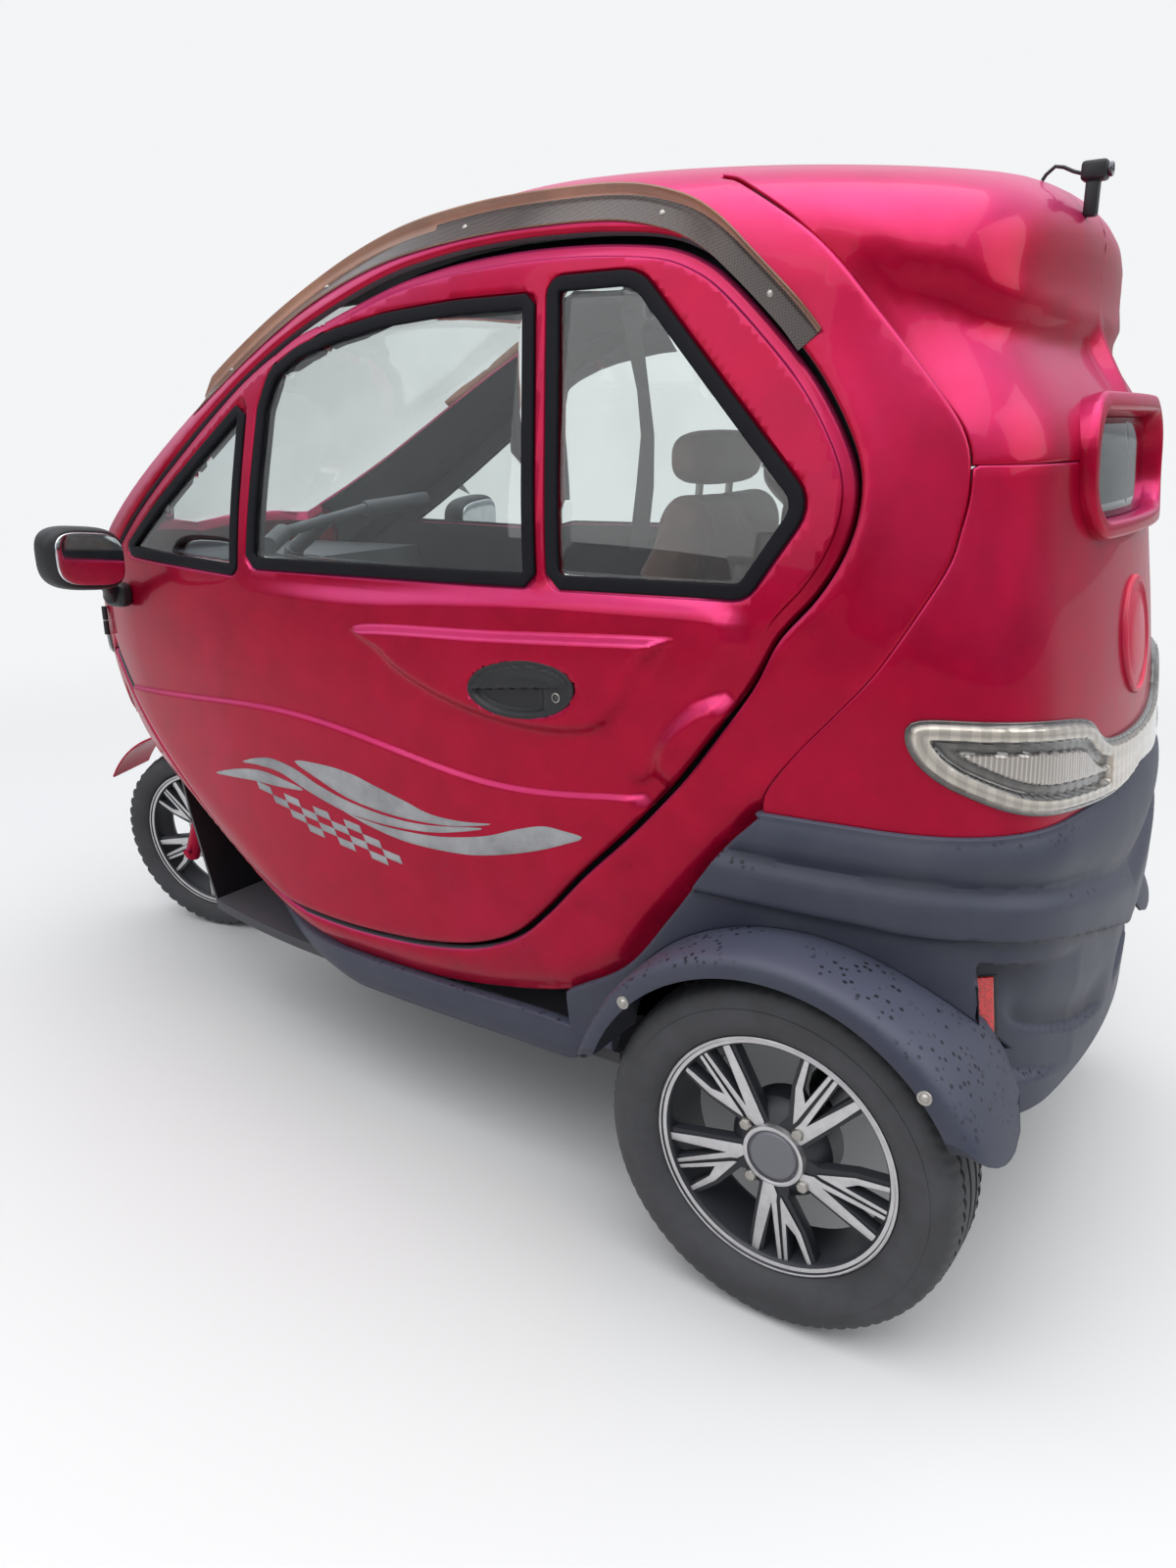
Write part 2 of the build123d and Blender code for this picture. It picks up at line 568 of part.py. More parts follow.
spring = rod((0, RAIL_Y, TYRE_R), (0, RAIL_Y, RAIL_HIGH_Z[0] - SEAT_CLEAR), SPRING_R)
spring = spring - rod((0, RAIL_Y - SPRING_R * 2, TYRE_R), (0, RAIL_Y + SPRING_R * 2, TYRE_R),
                      AXLE_TUBE_R + SEAT_CLEAR)
nodes["rear_springs"] = pair(max(spring.solids(), key=lambda solid: solid.center().Z))

battery = box((470.0, 800.0), (-190, 190), (FLOOR_TOP_Z + SEAT_CLEAR, 480.0))
nodes["battery"] = battery

# Wheel well liner and dashboard
liner_back = FLOOR_FRONT_X + SEAT_CLEAR
liner = prism(((liner_back, BODY_BOTTOM_Z), (liner_back + LINER_T, BODY_BOTTOM_Z),
               (WELL_BACK_X + LINER_T, 420.0), (1430.0, WELL_TOP_Z), (1830.0, WELL_TOP_Z + 60),
               (1830.0, WELL_TOP_Z + 60 + LINER_T), (1422.0, WELL_TOP_Z + LINER_T),
               (WELL_BACK_X, 420.0)), -500, 500) & side_form(WALL + MOVING_CLEAR)
liner = liner & prism(((1200.0, 200.0), (1340.0, 200.0), (1800.0, 560.0), (1800.0, 900.0),
                       (1200.0, 900.0)), -500, 500)
liner = liner - rod(on_steering_axis(500), on_steering_axis(700), HEAD_OUTER_R + SEAT_CLEAR)
liner = liner - box((1200.0, 1340.0), (-neck_half, neck_half), (0, 320))
nodes["wheel_well_liner"] = liner
dash = prism(DASH_OUTLINE, -400, 400) & inside_moving
dash = dash + (prism(DASH_OUTLINE, -400, 400) & inside & box((DASH_WIDE_X, 1900), (-400, 400), (0, 1000)))
nodes["dashboard"] = dash - rod(on_steering_axis(640), on_steering_axis(1060), COLUMN_HOLE_R)

# Seat
seat_foot_z = FLOOR_TOP_Z + SEAT_CLEAR
nodes["seat_base"] = prism(((FLOOR_BACK_X, seat_foot_z), (440.0, seat_foot_z), (440.0, 500.0),
                            (860.0, 500.0), (880.0, SEAT_BASE_Z), (FLOOR_BACK_X, SEAT_BASE_Z)),
                           -220, 220)
cushion_z = SEAT_BASE_Z + SEAT_CLEAR
nodes["seat_cushion"] = rounded_prism(((885.0, cushion_z, 20.0), (880.0, 640.0, 40.0),
                                       (400.0, 620.0, 30.0), (400.0, cushion_z, 10.0)), -225, 225)
nodes["seat_back"] = rounded_prism(((399.7, cushion_z, 10.0), (399.7, 650.0, 10.0),
                                    (470.0, 730.0, 30.0), (400.0, 1070.0, 40.0),
                                    (300.0, 1070.0, 40.0), (330.0, cushion_z, 20.0)), -215, 215)
headrest = rounded_prism(((395.0, 1095.0, 20.0), (410.0, 1160.0, 24.0), (310.0, 1160.0, 24.0),
                          (318.0, 1095.0, 20.0)), -125, 125)
for side in (-50.0, 50.0):
    headrest = headrest + rod((352, side, 1070.3), (352, side, 1120), 6)
nodes["headrest"] = headrest

# Lamps and reflectors
skin_out = body_form(-LAMP_PROUD) - body_form(-SEAT_CLEAR)
tail_lamp = skin_out & rounded_prism(TAIL_LAMP, TAIL_LAMP_IN_Y, SIDE_REACH_Y)
nodes["tail_lamps"] = pair(tail_lamp)
reflector = skin_out & prism(((-252.0, 436.0), (-236.0, 436.0), (-236.0, 506.0), (-252.0, 506.0)),
                             100, SIDE_REACH_Y)
nodes["rear_reflectors"] = pair(reflector)
headlamp = skin_out & rounded_prism(HEADLAMP, 90, 290)
nodes["headlamps"] = pair(headlamp)
nodes["tail_disc"] = (body_form(-LAMP_PROUD) - body_form(-SEAT_CLEAR)) & Cylinder(
    TAIL_DISC_R, 400, rotation=(0, 90, 0)).moved(Location((-400, 0, TAIL_DISC_Z)))

# Rear mudguards, over the wheels
def ring_sector(outer_r, inner_r, from_deg, to_deg, y_low, y_high, centre_x, centre_z):
    """Part of a ring about a wheel's axis, between two angles from straight ahead."""
    steps = 12
    reach = outer_r * 2
    wedge = [(centre_x, centre_z)]
    for step in range(steps + 1):
        angle = math.radians(from_deg + (to_deg - from_deg) * step / steps)
        wedge.append((centre_x + reach * math.cos(angle), centre_z + reach * math.sin(angle)))
    middle = Location((centre_x, (y_low + y_high) / 2, centre_z))
    ring = Cylinder(outer_r, y_high - y_low, rotation=(90, 0, 0)) - Cylinder(
        inner_r, y_high - y_low + 2, rotation=(90, 0, 0))
    return ring.moved(middle) & prism(tuple(wedge), y_low - 1, y_high + 1)


mudguard = ring_sector(MUDGUARD_R, MUDGUARD_R - MUDGUARD_T, MUDGUARD_FROM, MUDGUARD_TO,
                       MUDGUARD_IN_Y, MUDGUARD_OUT_Y, 0, TYRE_R)
mudguard = mudguard + ring_sector(MUDGUARD_R, MUDGUARD_R - MUDGUARD_LIP, MUDGUARD_FROM, MUDGUARD_TO,
                                  MUDGUARD_OUT_Y - MUDGUARD_T, MUDGUARD_OUT_Y, 0, TYRE_R)
wheelhouse_wall = Cylinder(MUDGUARD_R, MUDGUARD_T, rotation=(90, 0, 0)).moved(
    Location((0, MUDGUARD_IN_Y + MUDGUARD_T / 2, TYRE_R)))
wheelhouse_wall = wheelhouse_wall & box((-400, 400), (0, 600), (WHEELHOUSE_LOW_Z, 700))
mudguard = mudguard + wheelhouse_wall
nodes["rear_mudguards"] = pair(mudguard)


# Wheels
def spoke_bar(r_in, lean_in, r_out, lean_out, width, face_y):
    """Straight bar of a spoke group, between two points given by radius and angle."""
    start = Vector(r_in, 0, 0).rotate(Axis.Y, lean_in)
    end = Vector(r_out, 0, 0).rotate(Axis.Y, lean_out)
    along = (end - start).normalized()
    across = Vector(-along.Z, 0, along.X) * (width / 2)
    face = make_face(Polyline([start + across, end + across, end - across, start - across],
                              close=True))
    return extrude_y(face, face_y - SPOKE_T, face_y)


def wheel_rim(half_w, bore_r, hub_half):
    """Alloy rim about the Y axis: barrel with two flanges, hub and five spoke groups."""
    barrel = make_face(Polyline([Vector(0, half_w - FLANGE_T, BEAD_R - RIM_WALL),
                                 Vector(0, half_w, RIM_R - 3), Vector(0, half_w, RIM_R),
                                 Vector(0, half_w - 3, RIM_R),
                                 Vector(0, half_w - FLANGE_T, BEAD_R),
                                 Vector(0, -half_w + FLANGE_T, BEAD_R),
                                 Vector(0, -half_w + 3, RIM_R), Vector(0, -half_w, RIM_R),
                                 Vector(0, -half_w, RIM_R - 3),
                                 Vector(0, -half_w + FLANGE_T, BEAD_R - RIM_WALL)], close=True))
    rim = revolve(barrel, Axis.Y, 360)
    face_y = half_w - 14
    hub = Cylinder(HUB_R, hub_half + face_y, rotation=(90, 0, 0)).moved(
        Location((0, (face_y - hub_half) / 2, 0)))
    rim = rim + hub
    for group in range(SPOKE_GROUPS):
        middle = 90 + group * 360 / SPOKE_GROUPS
        for r_in, lean_in, r_out, lean_out, width in SPOKE_BARS:
            rim = rim + spoke_bar(r_in, lean_in, r_out, lean_out, width, face_y).rotate(Axis.Y, middle)
    return rim - Cylinder(bore_r, 400, rotation=(90, 0, 0))


def wheel_tyre(radius, width, rim_half_w):
    """Hollow tyre about the Y axis, with its beads between the rim's flanges."""
    half = width / 2
    bead = rim_half_w - FLANGE_T - BEAD_GAP
    seat = BEAD_R + BEAD_GAP
    shoulder = radius - 0.13 * radius
    outside = [(bead, seat), (bead, RIM_R + 2), (half, RIM_R + 26), (half, shoulder),
               (half - 14, radius - 7), (half - 32, radius)]
    hollow = [(bead - TYRE_WALL, seat), (bead - TYRE_WALL, RIM_R + 6),
              (half - TYRE_WALL, RIM_R + 30), (half - TYRE_WALL, shoulder - 4),
              (half - 32, radius - TYRE_WALL - 3)]
    ring = [Vector(0, y, r) for y, r in outside] + [Vector(0, -y, r) for y, r in outside[::-1]]
    core = [Vector(0, y, r) for y, r in hollow] + [Vector(0, -y, r) for y, r in hollow[::-1]]
    tyre = make_face(Polyline(ring, close=True)) - make_face(Polyline(core, close=True))
    return revolve(tyre, Axis.Y, 360)


rear_rim = wheel_rim(RIM_HALF_W, REAR_STUB_R + RUNNING_GAP, HUB_HALF)
rear_tyre = wheel_tyre(TYRE_R, TYRE_W, RIM_HALF_W)
left_place = Location((0, WHEEL_Y, TYRE_R))
for name, shape in (("rim", rear_rim), ("tyre", rear_tyre)):
    placed = shape.moved(left_place)
    nodes[f"rear_{name}_left"] = placed
    nodes[f"rear_{name}_right"] = mirrored(placed)

front_place = Location((WHEELBASE, 0, FRONT_AXLE_Z))
front_rim = wheel_rim(FRONT_RIM_HALF_W, FRONT_AXLE_R + RUNNING_GAP, HUB_HALF)
front_tyre = wheel_tyre(FRONT_TYRE_R, FRONT_TYRE_W, FRONT_RIM_HALF_W)
nodes["front_rim"] = steered(front_rim.moved(front_place))
nodes["front_tyre"] = steered(front_tyre.moved(front_place))

# Fork, front mudguard and handlebar
down = (on_steering_axis(0) - on_steering_axis(100)).normalized()
axle = Vector(WHEELBASE, 0, FRONT_AXLE_Z)
crown_at = on_steering_axis(HEAD_LOW_Z) + down * (FORK_CROWN_T / 2 + 6)
along = (axle - on_steering_axis(0)).dot(down)
offset_vector = axle - (on_steering_axis(0) + down * along)
leg_top = crown_at + offset_vector
fork = rod(axle - Vector(0, FRONT_AXLE_HALF, 0), axle + Vector(0, FRONT_AXLE_HALF, 0), FRONT_AXLE_R)
for side in (-FORK_LEG_Y, FORK_LEG_Y):
    shift = Vector(0, side, 0)
    fork = fork + rod(axle + shift + down * 22, leg_top + shift - down * 10, FORK_LEG_R)
crown_plane = Plane(origin=crown_at, x_dir=(0, 1, 0), z_dir=down)
crown = extrude(crown_plane * RectangleRounded(2 * FORK_LEG_Y + 44, 100, 20),
                amount=FORK_CROWN_T / 2, both=True)
fork = fork + crown + rod(crown_at, on_steering_axis(HEAD_HIGH_Z + 40), STEERER_R)
leg_line = leg_top - axle
bracket_share = (FRONT_MUDGUARD_R - MUDGUARD_T / 2) / leg_line.length
for side in (-1, 1):
    at = axle + leg_line * bracket_share
    fork = fork + rod(at + Vector(0, side * FORK_LEG_Y, 0),
                      at + Vector(0, side * (FRONT_MUDGUARD_HALF_W + SEAT_CLEAR), 0), BRACKET_R)
nodes["steering_fork"] = steered(fork)
front_guard = ring_sector(FRONT_MUDGUARD_R, FRONT_MUDGUARD_R - MUDGUARD_T, FRONT_MUDGUARD_FROM,
                          FRONT_MUDGUARD_TO, -FRONT_MUDGUARD_HALF_W, FRONT_MUDGUARD_HALF_W,
                          WHEELBASE, FRONT_AXLE_Z)
nodes["front_mudguard"] = steered(front_guard)
stem_top = on_steering_axis(BAR_Z) + Vector(-60, 0, 0)
bars = rod(on_steering_axis(HEAD_HIGH_Z + 40.3), on_steering_axis(BAR_Z - 60), STEERER_R)
bars = bars + rod(on_steering_axis(BAR_Z - 60), stem_top, STEERER_R - 4)
bars = bars + rod(stem_top - Vector(0, 150, 0), stem_top + Vector(0, 150, 0), BAR_R)
for side in (-1, 1):
    elbow = stem_top + Vector(0, side * 148, 0)
    bars = bars + rod(elbow, elbow + Vector(-70, side * 140, 0), GRIP_R)
nodes["handlebar"] = steered(bars)

# Mirrors, handles, rain visors and roof camera
mirror_head = Box(70, 150, 110).moved(Location(MIRROR_AT))
mirror_head = fillet(mirror_head.edges(), 24)
mirror_arm = rod((1395, 400, 880), (1330, 480, 930), 12)
mirror_base = rod((1400, 380, 872), (1392, 405, 884), 26)
mirror = mirror_head + mirror_arm + mirror_base
mirror = max((mirror - body_form(-SEAT_CLEAR)).solids(), key=lambda solid: solid.volume)
nodes["mirror_left"] = mirror
nodes["mirror_right"] = mirrored(mirror)
handle = body_form(-PAD_PROUD - HANDLE_T) - body_form(-PAD_PROUD - SEAT_CLEAR)
handle = handle & rounded_prism(HANDLE, DOOR_INNER_Y, SIDE_REACH_Y)
nodes["door_handle_left"] = handle
nodes["door_handle_right"] = mirrored(handle)
visor = (rounded_prism(DOOR_OUTLINE, DOOR_INNER_Y, SIDE_REACH_Y, DOOR_GAP + 18.0) -
         rounded_prism(DOOR_OUTLINE, DOOR_INNER_Y, SIDE_REACH_Y, DOOR_GAP + 13.0))
visor = visor & prism(((10.0, 1240.0), (10.0, 1700.0), (1200.0, 1700.0), (1200.0, 1150.0)), 0, 700)
visor = (visor & body_form(-VISOR_REACH)) - body_form(-SEAT_CLEAR)
nodes["rain_visors"] = pair(visor)
camera = box((-215.0, -165.0), (60.0, 100.0), (1400.0, 1490.0)) - body_form(-SEAT_CLEAR)
nodes["roof_camera"] = max(camera.solids(), key=lambda solid: solid.center().Z)
wiper_line = Polyline([Vector(x, y, 0) for x, y in WIPER_PLAN], close=True)
wiper_strip = extrude(make_face(wiper_line), amount=500).moved(Location((0, 0, 850)))
nodes["wiper"] = (body_form(-WIPER_T) - body_form(-SEAT_CLEAR)) & wiper_strip

print("hinge_y", round(hinge_y, 3))
for name, shape in nodes.items():
    print(name, len(shape.solids()), round(shape.volume / 1e6, 2))

os.makedirs("parts", exist_ok=True)
for name, shape in nodes.items():
    export_step(shape.moved(Location((-ORIGIN_X, 0, 0))), f"parts/{name}.step")
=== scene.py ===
import math

import bmesh
import bpy
import numpy as np
from bpy.props import FloatProperty, FloatVectorProperty, PointerProperty
from mathutils import Matrix, Vector


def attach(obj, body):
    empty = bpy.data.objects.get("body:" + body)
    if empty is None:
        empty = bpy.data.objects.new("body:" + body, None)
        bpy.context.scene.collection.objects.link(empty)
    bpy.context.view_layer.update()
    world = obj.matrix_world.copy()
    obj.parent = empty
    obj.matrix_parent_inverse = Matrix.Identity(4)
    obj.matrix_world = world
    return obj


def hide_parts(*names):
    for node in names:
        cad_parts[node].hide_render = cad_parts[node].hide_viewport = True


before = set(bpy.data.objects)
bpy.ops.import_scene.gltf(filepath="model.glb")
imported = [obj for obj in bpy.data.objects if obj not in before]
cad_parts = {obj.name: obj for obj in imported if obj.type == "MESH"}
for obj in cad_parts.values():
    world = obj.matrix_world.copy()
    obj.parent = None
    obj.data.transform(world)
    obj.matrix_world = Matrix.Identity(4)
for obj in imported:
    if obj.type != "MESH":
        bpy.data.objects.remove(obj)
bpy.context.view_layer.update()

bl_info = {
    "name": "Enclosed Mobility Scooter",
    "version": (1, 0, 0),
    "blender": (4, 5, 0),
    "location": "3D View > Sidebar > Scooter",
    "description": "Builds the looks of an enclosed three-wheeled mobility scooter",
    "category": "Object",
}

# Lengths are in metres. Places are written from the rear axle forwards, to the vehicle's left
# and up from the ground, and SHIFT moves them into the shared frame.
SHIFT = (-0.8188, 0.0, 0.0)
TYRE_R = 0.247
WHEEL_Y = 0.435


# Smooth curves through measured points

def smooth_curve(points):
    """Returns a function that runs smoothly through (place, value) points."""
    places, values = np.array(points, float).T
    count = len(places)
    step = np.diff(places)
    system = np.zeros((count, count))
    right = np.zeros(count)
    system[0, 0] = system[-1, -1] = 1.0
    for i in range(1, count - 1):
        system[i, i - 1:i + 2] = step[i - 1], 2 * (step[i - 1] + step[i]), step[i]
        right[i] = 6 * ((values[i + 1] - values[i]) / step[i]
                        - (values[i] - values[i - 1]) / step[i - 1])
    bend = np.linalg.solve(system, right)
    first = (values[1] - values[0]) / step[0] - step[0] * (2 * bend[0] + bend[1]) / 6
    last = (values[-1] - values[-2]) / step[-1] + step[-1] * (bend[-2] + 2 * bend[-1]) / 6

    def value(place):
        place = np.asarray(place, float)
        held = np.clip(place, places[0], places[-1])
        i = np.clip(np.searchsorted(places, held) - 1, 0, count - 2)
        t = held - places[i]
        slope = (values[i + 1] - values[i]) / step[i] - step[i] * (2 * bend[i] + bend[i + 1]) / 6
        inside = values[i] + t * slope + t * t * bend[i] / 2 + t ** 3 * (
            bend[i + 1] - bend[i]) / (6 * step[i])
        before = np.where(place < places[0], (place - places[0]) * first, 0)
        after = np.where(place > places[-1], (place - places[-1]) * last, 0)
        return inside + before + after

    return value


def soft_min(a, b, blend):
    """The smaller of two distances, rounded where they meet."""
    near = np.maximum(blend - np.abs(a - b), 0) / blend
    return np.minimum(a, b) - near * near * blend / 4


def ease(value, low, high):
    """0 below low, 1 above high, smooth between."""
    t = np.clip((np.asarray(value, float) - low) / (high - low), 0, 1)
    return t * t * (3 - 2 * t)


# Half widths of the body at the sill, the belt and the shoulder, by distance from the rear axle
SILL_WIDTH = smooth_curve(((-.35, .365), (-.12, .380), (.05, .392), (.5, .400), (1.0, .385),
    (1.3, .345), (1.5, .300), (1.7, .225)))
BELT_WIDTH = smooth_curve(((-.35, .441), (-.12, .461), (.05, .476), (.5, .486), (1.0, .458),
    (1.3, .414), (1.5, .358), (1.7, .268), (1.85, .176)))
SHOULDER_WIDTH = smooth_curve(((-.35, .340), (-.12, .362), (.05, .385), (.5, .398), (1.0, .362),
    (1.3, .315), (1.5, .270), (1.7, .200)))
# Height of the roof, bonnet and screen along the centre line
CROWN = smooth_curve(((-.35, 1.390), (-.19, 1.432), (-.08, 1.457), (.039, 1.476), (.169, 1.491),
    (.282, 1.500), (.404, 1.505), (.537, 1.499), (.72, 1.464), (.85, 1.424), (1.0, 1.362),
    (1.15, 1.284), (1.3, 1.199), (1.5, 1.078), (1.738, .925), (1.85, .852)))
# Rear end and nose on the centre line, by height
TAIL_END = smooth_curve(((.2, -.300), (.70, -.298), (.93, -.272), (1.10, -.250), (1.19, -.236),
    (1.25, -.205), (1.30, -.186), (1.345, -.184), (1.385, -.190), (1.45, -.185)))
NOSE_END = smooth_curve(((.225, 1.30), (.36, 1.47), (.5, 1.665), (.57, 1.748), (.64, 1.80),
    (.72, 1.83), (.79, 1.842), (.86, 1.845), (.95, 1.845)))
CROWN_AXIS_Z = 0.12


def half_width(x, z):
    low = SILL_WIDTH(x) + (BELT_WIDTH(x) - SILL_WIDTH(x)) * (z - .25) / .67
    low = low + .006 * (1 - ((z - .585) / .335) ** 2)
    high = BELT_WIDTH(x) + (SHOULDER_WIDTH(x) - BELT_WIDTH(x)) * (z - .92) / .46
    return soft_min(low, high, .05)


def depth_inside(points):
    """How far points lie inside the body's outer form; negative outside."""
    x, y, z = points[..., 0], np.abs(points[..., 1]), points[..., 2]
    form = soft_min(half_width(x, z) - y, x - TAIL_END(z) - y * y / 3.0, .14)
    form = soft_min(form, CROWN(x) - CROWN_AXIS_Z - np.hypot(y, z - CROWN_AXIS_Z), .09)
    return soft_min(form, NOSE_END(z) - 2.7 * y * y - x, .07)


def cast(origins, directions, reach=2.0):
    """Points where rays from inside the body leave its outer form."""
    near = np.zeros(len(origins))
    far = np.full(len(origins), reach)
    for _ in range(36):
        middle = (near + far) / 2
        out = depth_inside(origins + directions * middle[:, None]) < 0
        far = np.where(out, middle, far)
        near = np.where(out, near, middle)
    return origins + directions * near[:, None]


def body_normals(points):
    step = 1e-4
    slope = [depth_inside(points + offset) - depth_inside(points - offset)
             for offset in np.eye(3) * step]
    normals = -np.stack(slope, axis=-1)
    return normals / np.linalg.norm(normals, axis=-1, keepdims=True)


# Charts: flat maps of the body's skin, each with a way out to the skin and a way back

DRUM_X = .10
BARREL_Z = .70


def chart(out, back):
    """A chart from the rays of its two coordinates and the coordinates of a point."""
    def rays(uv):
        return [np.stack(np.broadcast_arrays(*part), -1) for part in out(uv[:, 0], uv[:, 1])]

    return rays, lambda points: np.stack(back(*points.T), -1)


def globe_chart(centre, ahead):
    """Rays from one centre; the first angle rises from ahead, the second turns to the left."""
    cx, cy, cz = centre
    return chart(lambda a, b: ((cx + 0 * a, cy, cz), (ahead * np.cos(b) * np.cos(a), np.sin(b),
                                                      np.cos(b) * np.sin(a))),
                 lambda x, y, z: (np.arctan2(z - cz, ahead * (x - cx)),
                                  np.arctan2(y - cy, np.hypot(x - cx, z - cz))))


SIDE_CHART = chart(lambda u, w: ((u, 0, w), (0 * u, 1, 0)), lambda x, y, z: (x, z))
BARREL_CHART = chart(lambda u, w: ((u, 0, BARREL_Z), (0 * u, np.sin(w), np.cos(w))),
                     lambda x, y, z: (x, np.arctan2(y, z - BARREL_Z)))
DRUM_CHART = chart(lambda u, w: ((DRUM_X + 0 * u, 0, w), (-np.cos(u), np.sin(u), 0)),
                   lambda x, y, z: (np.arctan2(y, DRUM_X - x), z))
TAIL_CHART = globe_chart((.15, 0.0, 1.05), -1.0)
NOSE_CHART = globe_chart((1.42, 0.0, .76), 1.0)


def shot(x, y, z, way, reach=1.5):
    """Skin points met from given places, all in one direction."""
    origins = np.stack([part.ravel() for part in np.broadcast_arrays(x, y, z)], -1).astype(float)
    return cast(origins, np.tile(np.array(way, float), (len(origins), 1)), reach)


def on_side(line):
    line = np.array(line, float)
    return shot(line[:, 0], 0.0, line[:, 1], (0, 1, 0), 1.0)


def on_rear(y, z):
    return shot(.2, y, z, (-1, 0, 0), 1.0)


def on_front(y, z):
    return shot(1.2, y, z, (1, 0, 0), 1.0)


def on_top(x, y):
    return shot(x, y, .6, (0, 0, 1))


def around(z, angles):
    """Skin points at one height, by their angle from straight behind."""
    return cast(*DRUM_CHART[0](np.stack(np.broadcast_arrays(angles, z), -1)), 1.5)


def tail_angle(points):
    """Angle round the tail from straight behind, the same on both sides."""
    return np.arctan2(np.abs(points[..., 1]), DRUM_X - points[..., 0])


def rounded(points, step=.012, closed=True):
    """Smooth line through side-view points, divided evenly."""
    pts = np.array(points, float)
    if closed:
        pts = np.vstack([pts[-1:], pts, pts[:2]])
    else:
        pts = np.vstack([2 * pts[0] - pts[1], pts, 2 * pts[-1] - pts[-2]])
    dense = []
    for p0, p1, p2, p3 in zip(pts, pts[1:], pts[2:], pts[3:]):
        t = np.linspace(0, 1, 13)[:-1, None]
        dense.append(.5 * (2 * p1 + (p2 - p0) * t + (2 * p0 - 5 * p1 + 4 * p2 - p3) * t ** 2
                           + (3 * p1 - p0 - 3 * p2 + p3) * t ** 3))
    dense = np.vstack(dense + [pts[-2:-1]])
    along = np.concatenate([[0], np.cumsum(np.linalg.norm(np.diff(dense, axis=0), axis=1))])
    count = max(8, int(round(along[-1] / step)))
    places = np.linspace(0, along[-1], count + 1)
    line = np.stack([np.interp(places, along, dense[:, i]) for i in range(dense.shape[1])], -1)
    return line[:-1] if closed else line


def filleted(corners, step=.012):
    """Closed straight-sided side view with rounded corners, from (x, z, radius)."""
    line = []
    count = len(corners)
    for i in range(count):
        p = np.array(corners[i][:2], float)
        a = np.array(corners[i - 1][:2], float) - p
        b = np.array(corners[(i + 1) % count][:2], float) - p
        ua, ub = a / np.linalg.norm(a), b / np.linalg.norm(b)
        half = math.acos(max(-1, min(1, float(ua @ ub)))) / 2
        cut = corners[i][2] / math.tan(half)
        middle = p + (ua + ub) / np.linalg.norm(ua + ub) * corners[i][2] / math.sin(half)
        start, end = p + ua * cut - middle, p + ub * cut - middle
        turn = math.atan2(start[0] * end[1] - start[1] * end[0], float(start @ end))
        steps = max(2, int(abs(turn) * corners[i][2] / step) + 1)
        for k in range(steps + 1):
            angle = turn * k / steps
            c, s = math.cos(angle), math.sin(angle)
            line.append(middle + (c * start[0] - s * start[1], s * start[0] + c * start[1]))
    return divided(np.array(line), step)


def divided(line, step):
    """Adds points on the long runs of a closed line."""
    out = []
    for a, b in zip(line, np.roll(line, -1, axis=0)):
        runs = max(1, int(round(np.linalg.norm(b - a) / step)))
        out.extend(a + (b - a) * k / runs for k in range(runs))
    return np.array(out)


def grown(line, amount):
    """A closed side view moved outwards by amount."""
    ahead = np.roll(line, -1, axis=0) - np.roll(line, 1, axis=0)
    normal = np.stack([ahead[:, 1], -ahead[:, 0]], -1)
    normal /= np.linalg.norm(normal, axis=1, keepdims=True)
    area = np.sum(line[:, 0] * np.roll(line[:, 1], -1) - np.roll(line[:, 0], -1) * line[:, 1])
    moved = line + normal * amount * (1 if area > 0 else -1)
    if amount < 0:
        moved = moved[signed_distance(moved, line) > -amount * .97]
    return moved


def signed_distance(points, polygon):
    """Distance of flat points from a closed line, positive inside."""
    best = np.full(len(points), 1e9)
    inside = np.zeros(len(points), bool)
    for a, b in zip(polygon, np.roll(polygon, -1, axis=0)):
        run = b - a
        share = np.clip(((points - a) @ run) / max(run @ run, 1e-12), 0, 1)
        best = np.minimum(best, np.linalg.norm(points - a - share[:, None] * run, axis=1))
        if a[1] != b[1]:
            crosses = (a[1] > points[:, 1]) != (b[1] > points[:, 1])
            at = a[0] + (points[:, 1] - a[1]) * (b[0] - a[0]) / (b[1] - a[1])
            inside ^= crosses & (points[:, 0] < at)
    return np.where(inside, best, -best)


# Panels of the bodywork

def whole(bm):
    return bm.verts[:] + bm.edges[:] + bm.faces[:]


def cut_in_cells(bm, cell):
    """Cuts a flat filled outline into a grid of cells and removes the slanting inner edges."""
    for axis in (0, 1):
        places = [v.co[axis] for v in bm.verts]
        low, high = min(places), max(places)
        if isinstance(cell[axis], float):
            count = int((high - low) / cell[axis])
            cuts = [low + (k - .5) * (high - low) / (count + .37) for k in range(1, count + 1)]
        else:
            cuts = [at for at in cell[axis] if low + 1e-4 < at < high - 1e-4]
        normal = Vector((1 - axis, axis, 0))
        for at in cuts:
            bmesh.ops.bisect_plane(bm, geom=whole(bm), dist=1e-7, plane_co=normal * at,
                                   plane_no=normal)
    slanting = [e for e in bm.edges if len(e.link_faces) == 2
                and min(abs(e.verts[0].co[k] - e.verts[1].co[k]) for k in (0, 1)) > 1e-6]
    bmesh.ops.dissolve_edges(bm, edges=slanting, use_verts=False, use_face_split=False)
    loose = [v for v in bm.verts if len(v.link_edges) == 2 and not v.is_boundary]
    bmesh.ops.dissolve_verts(bm, verts=loose)


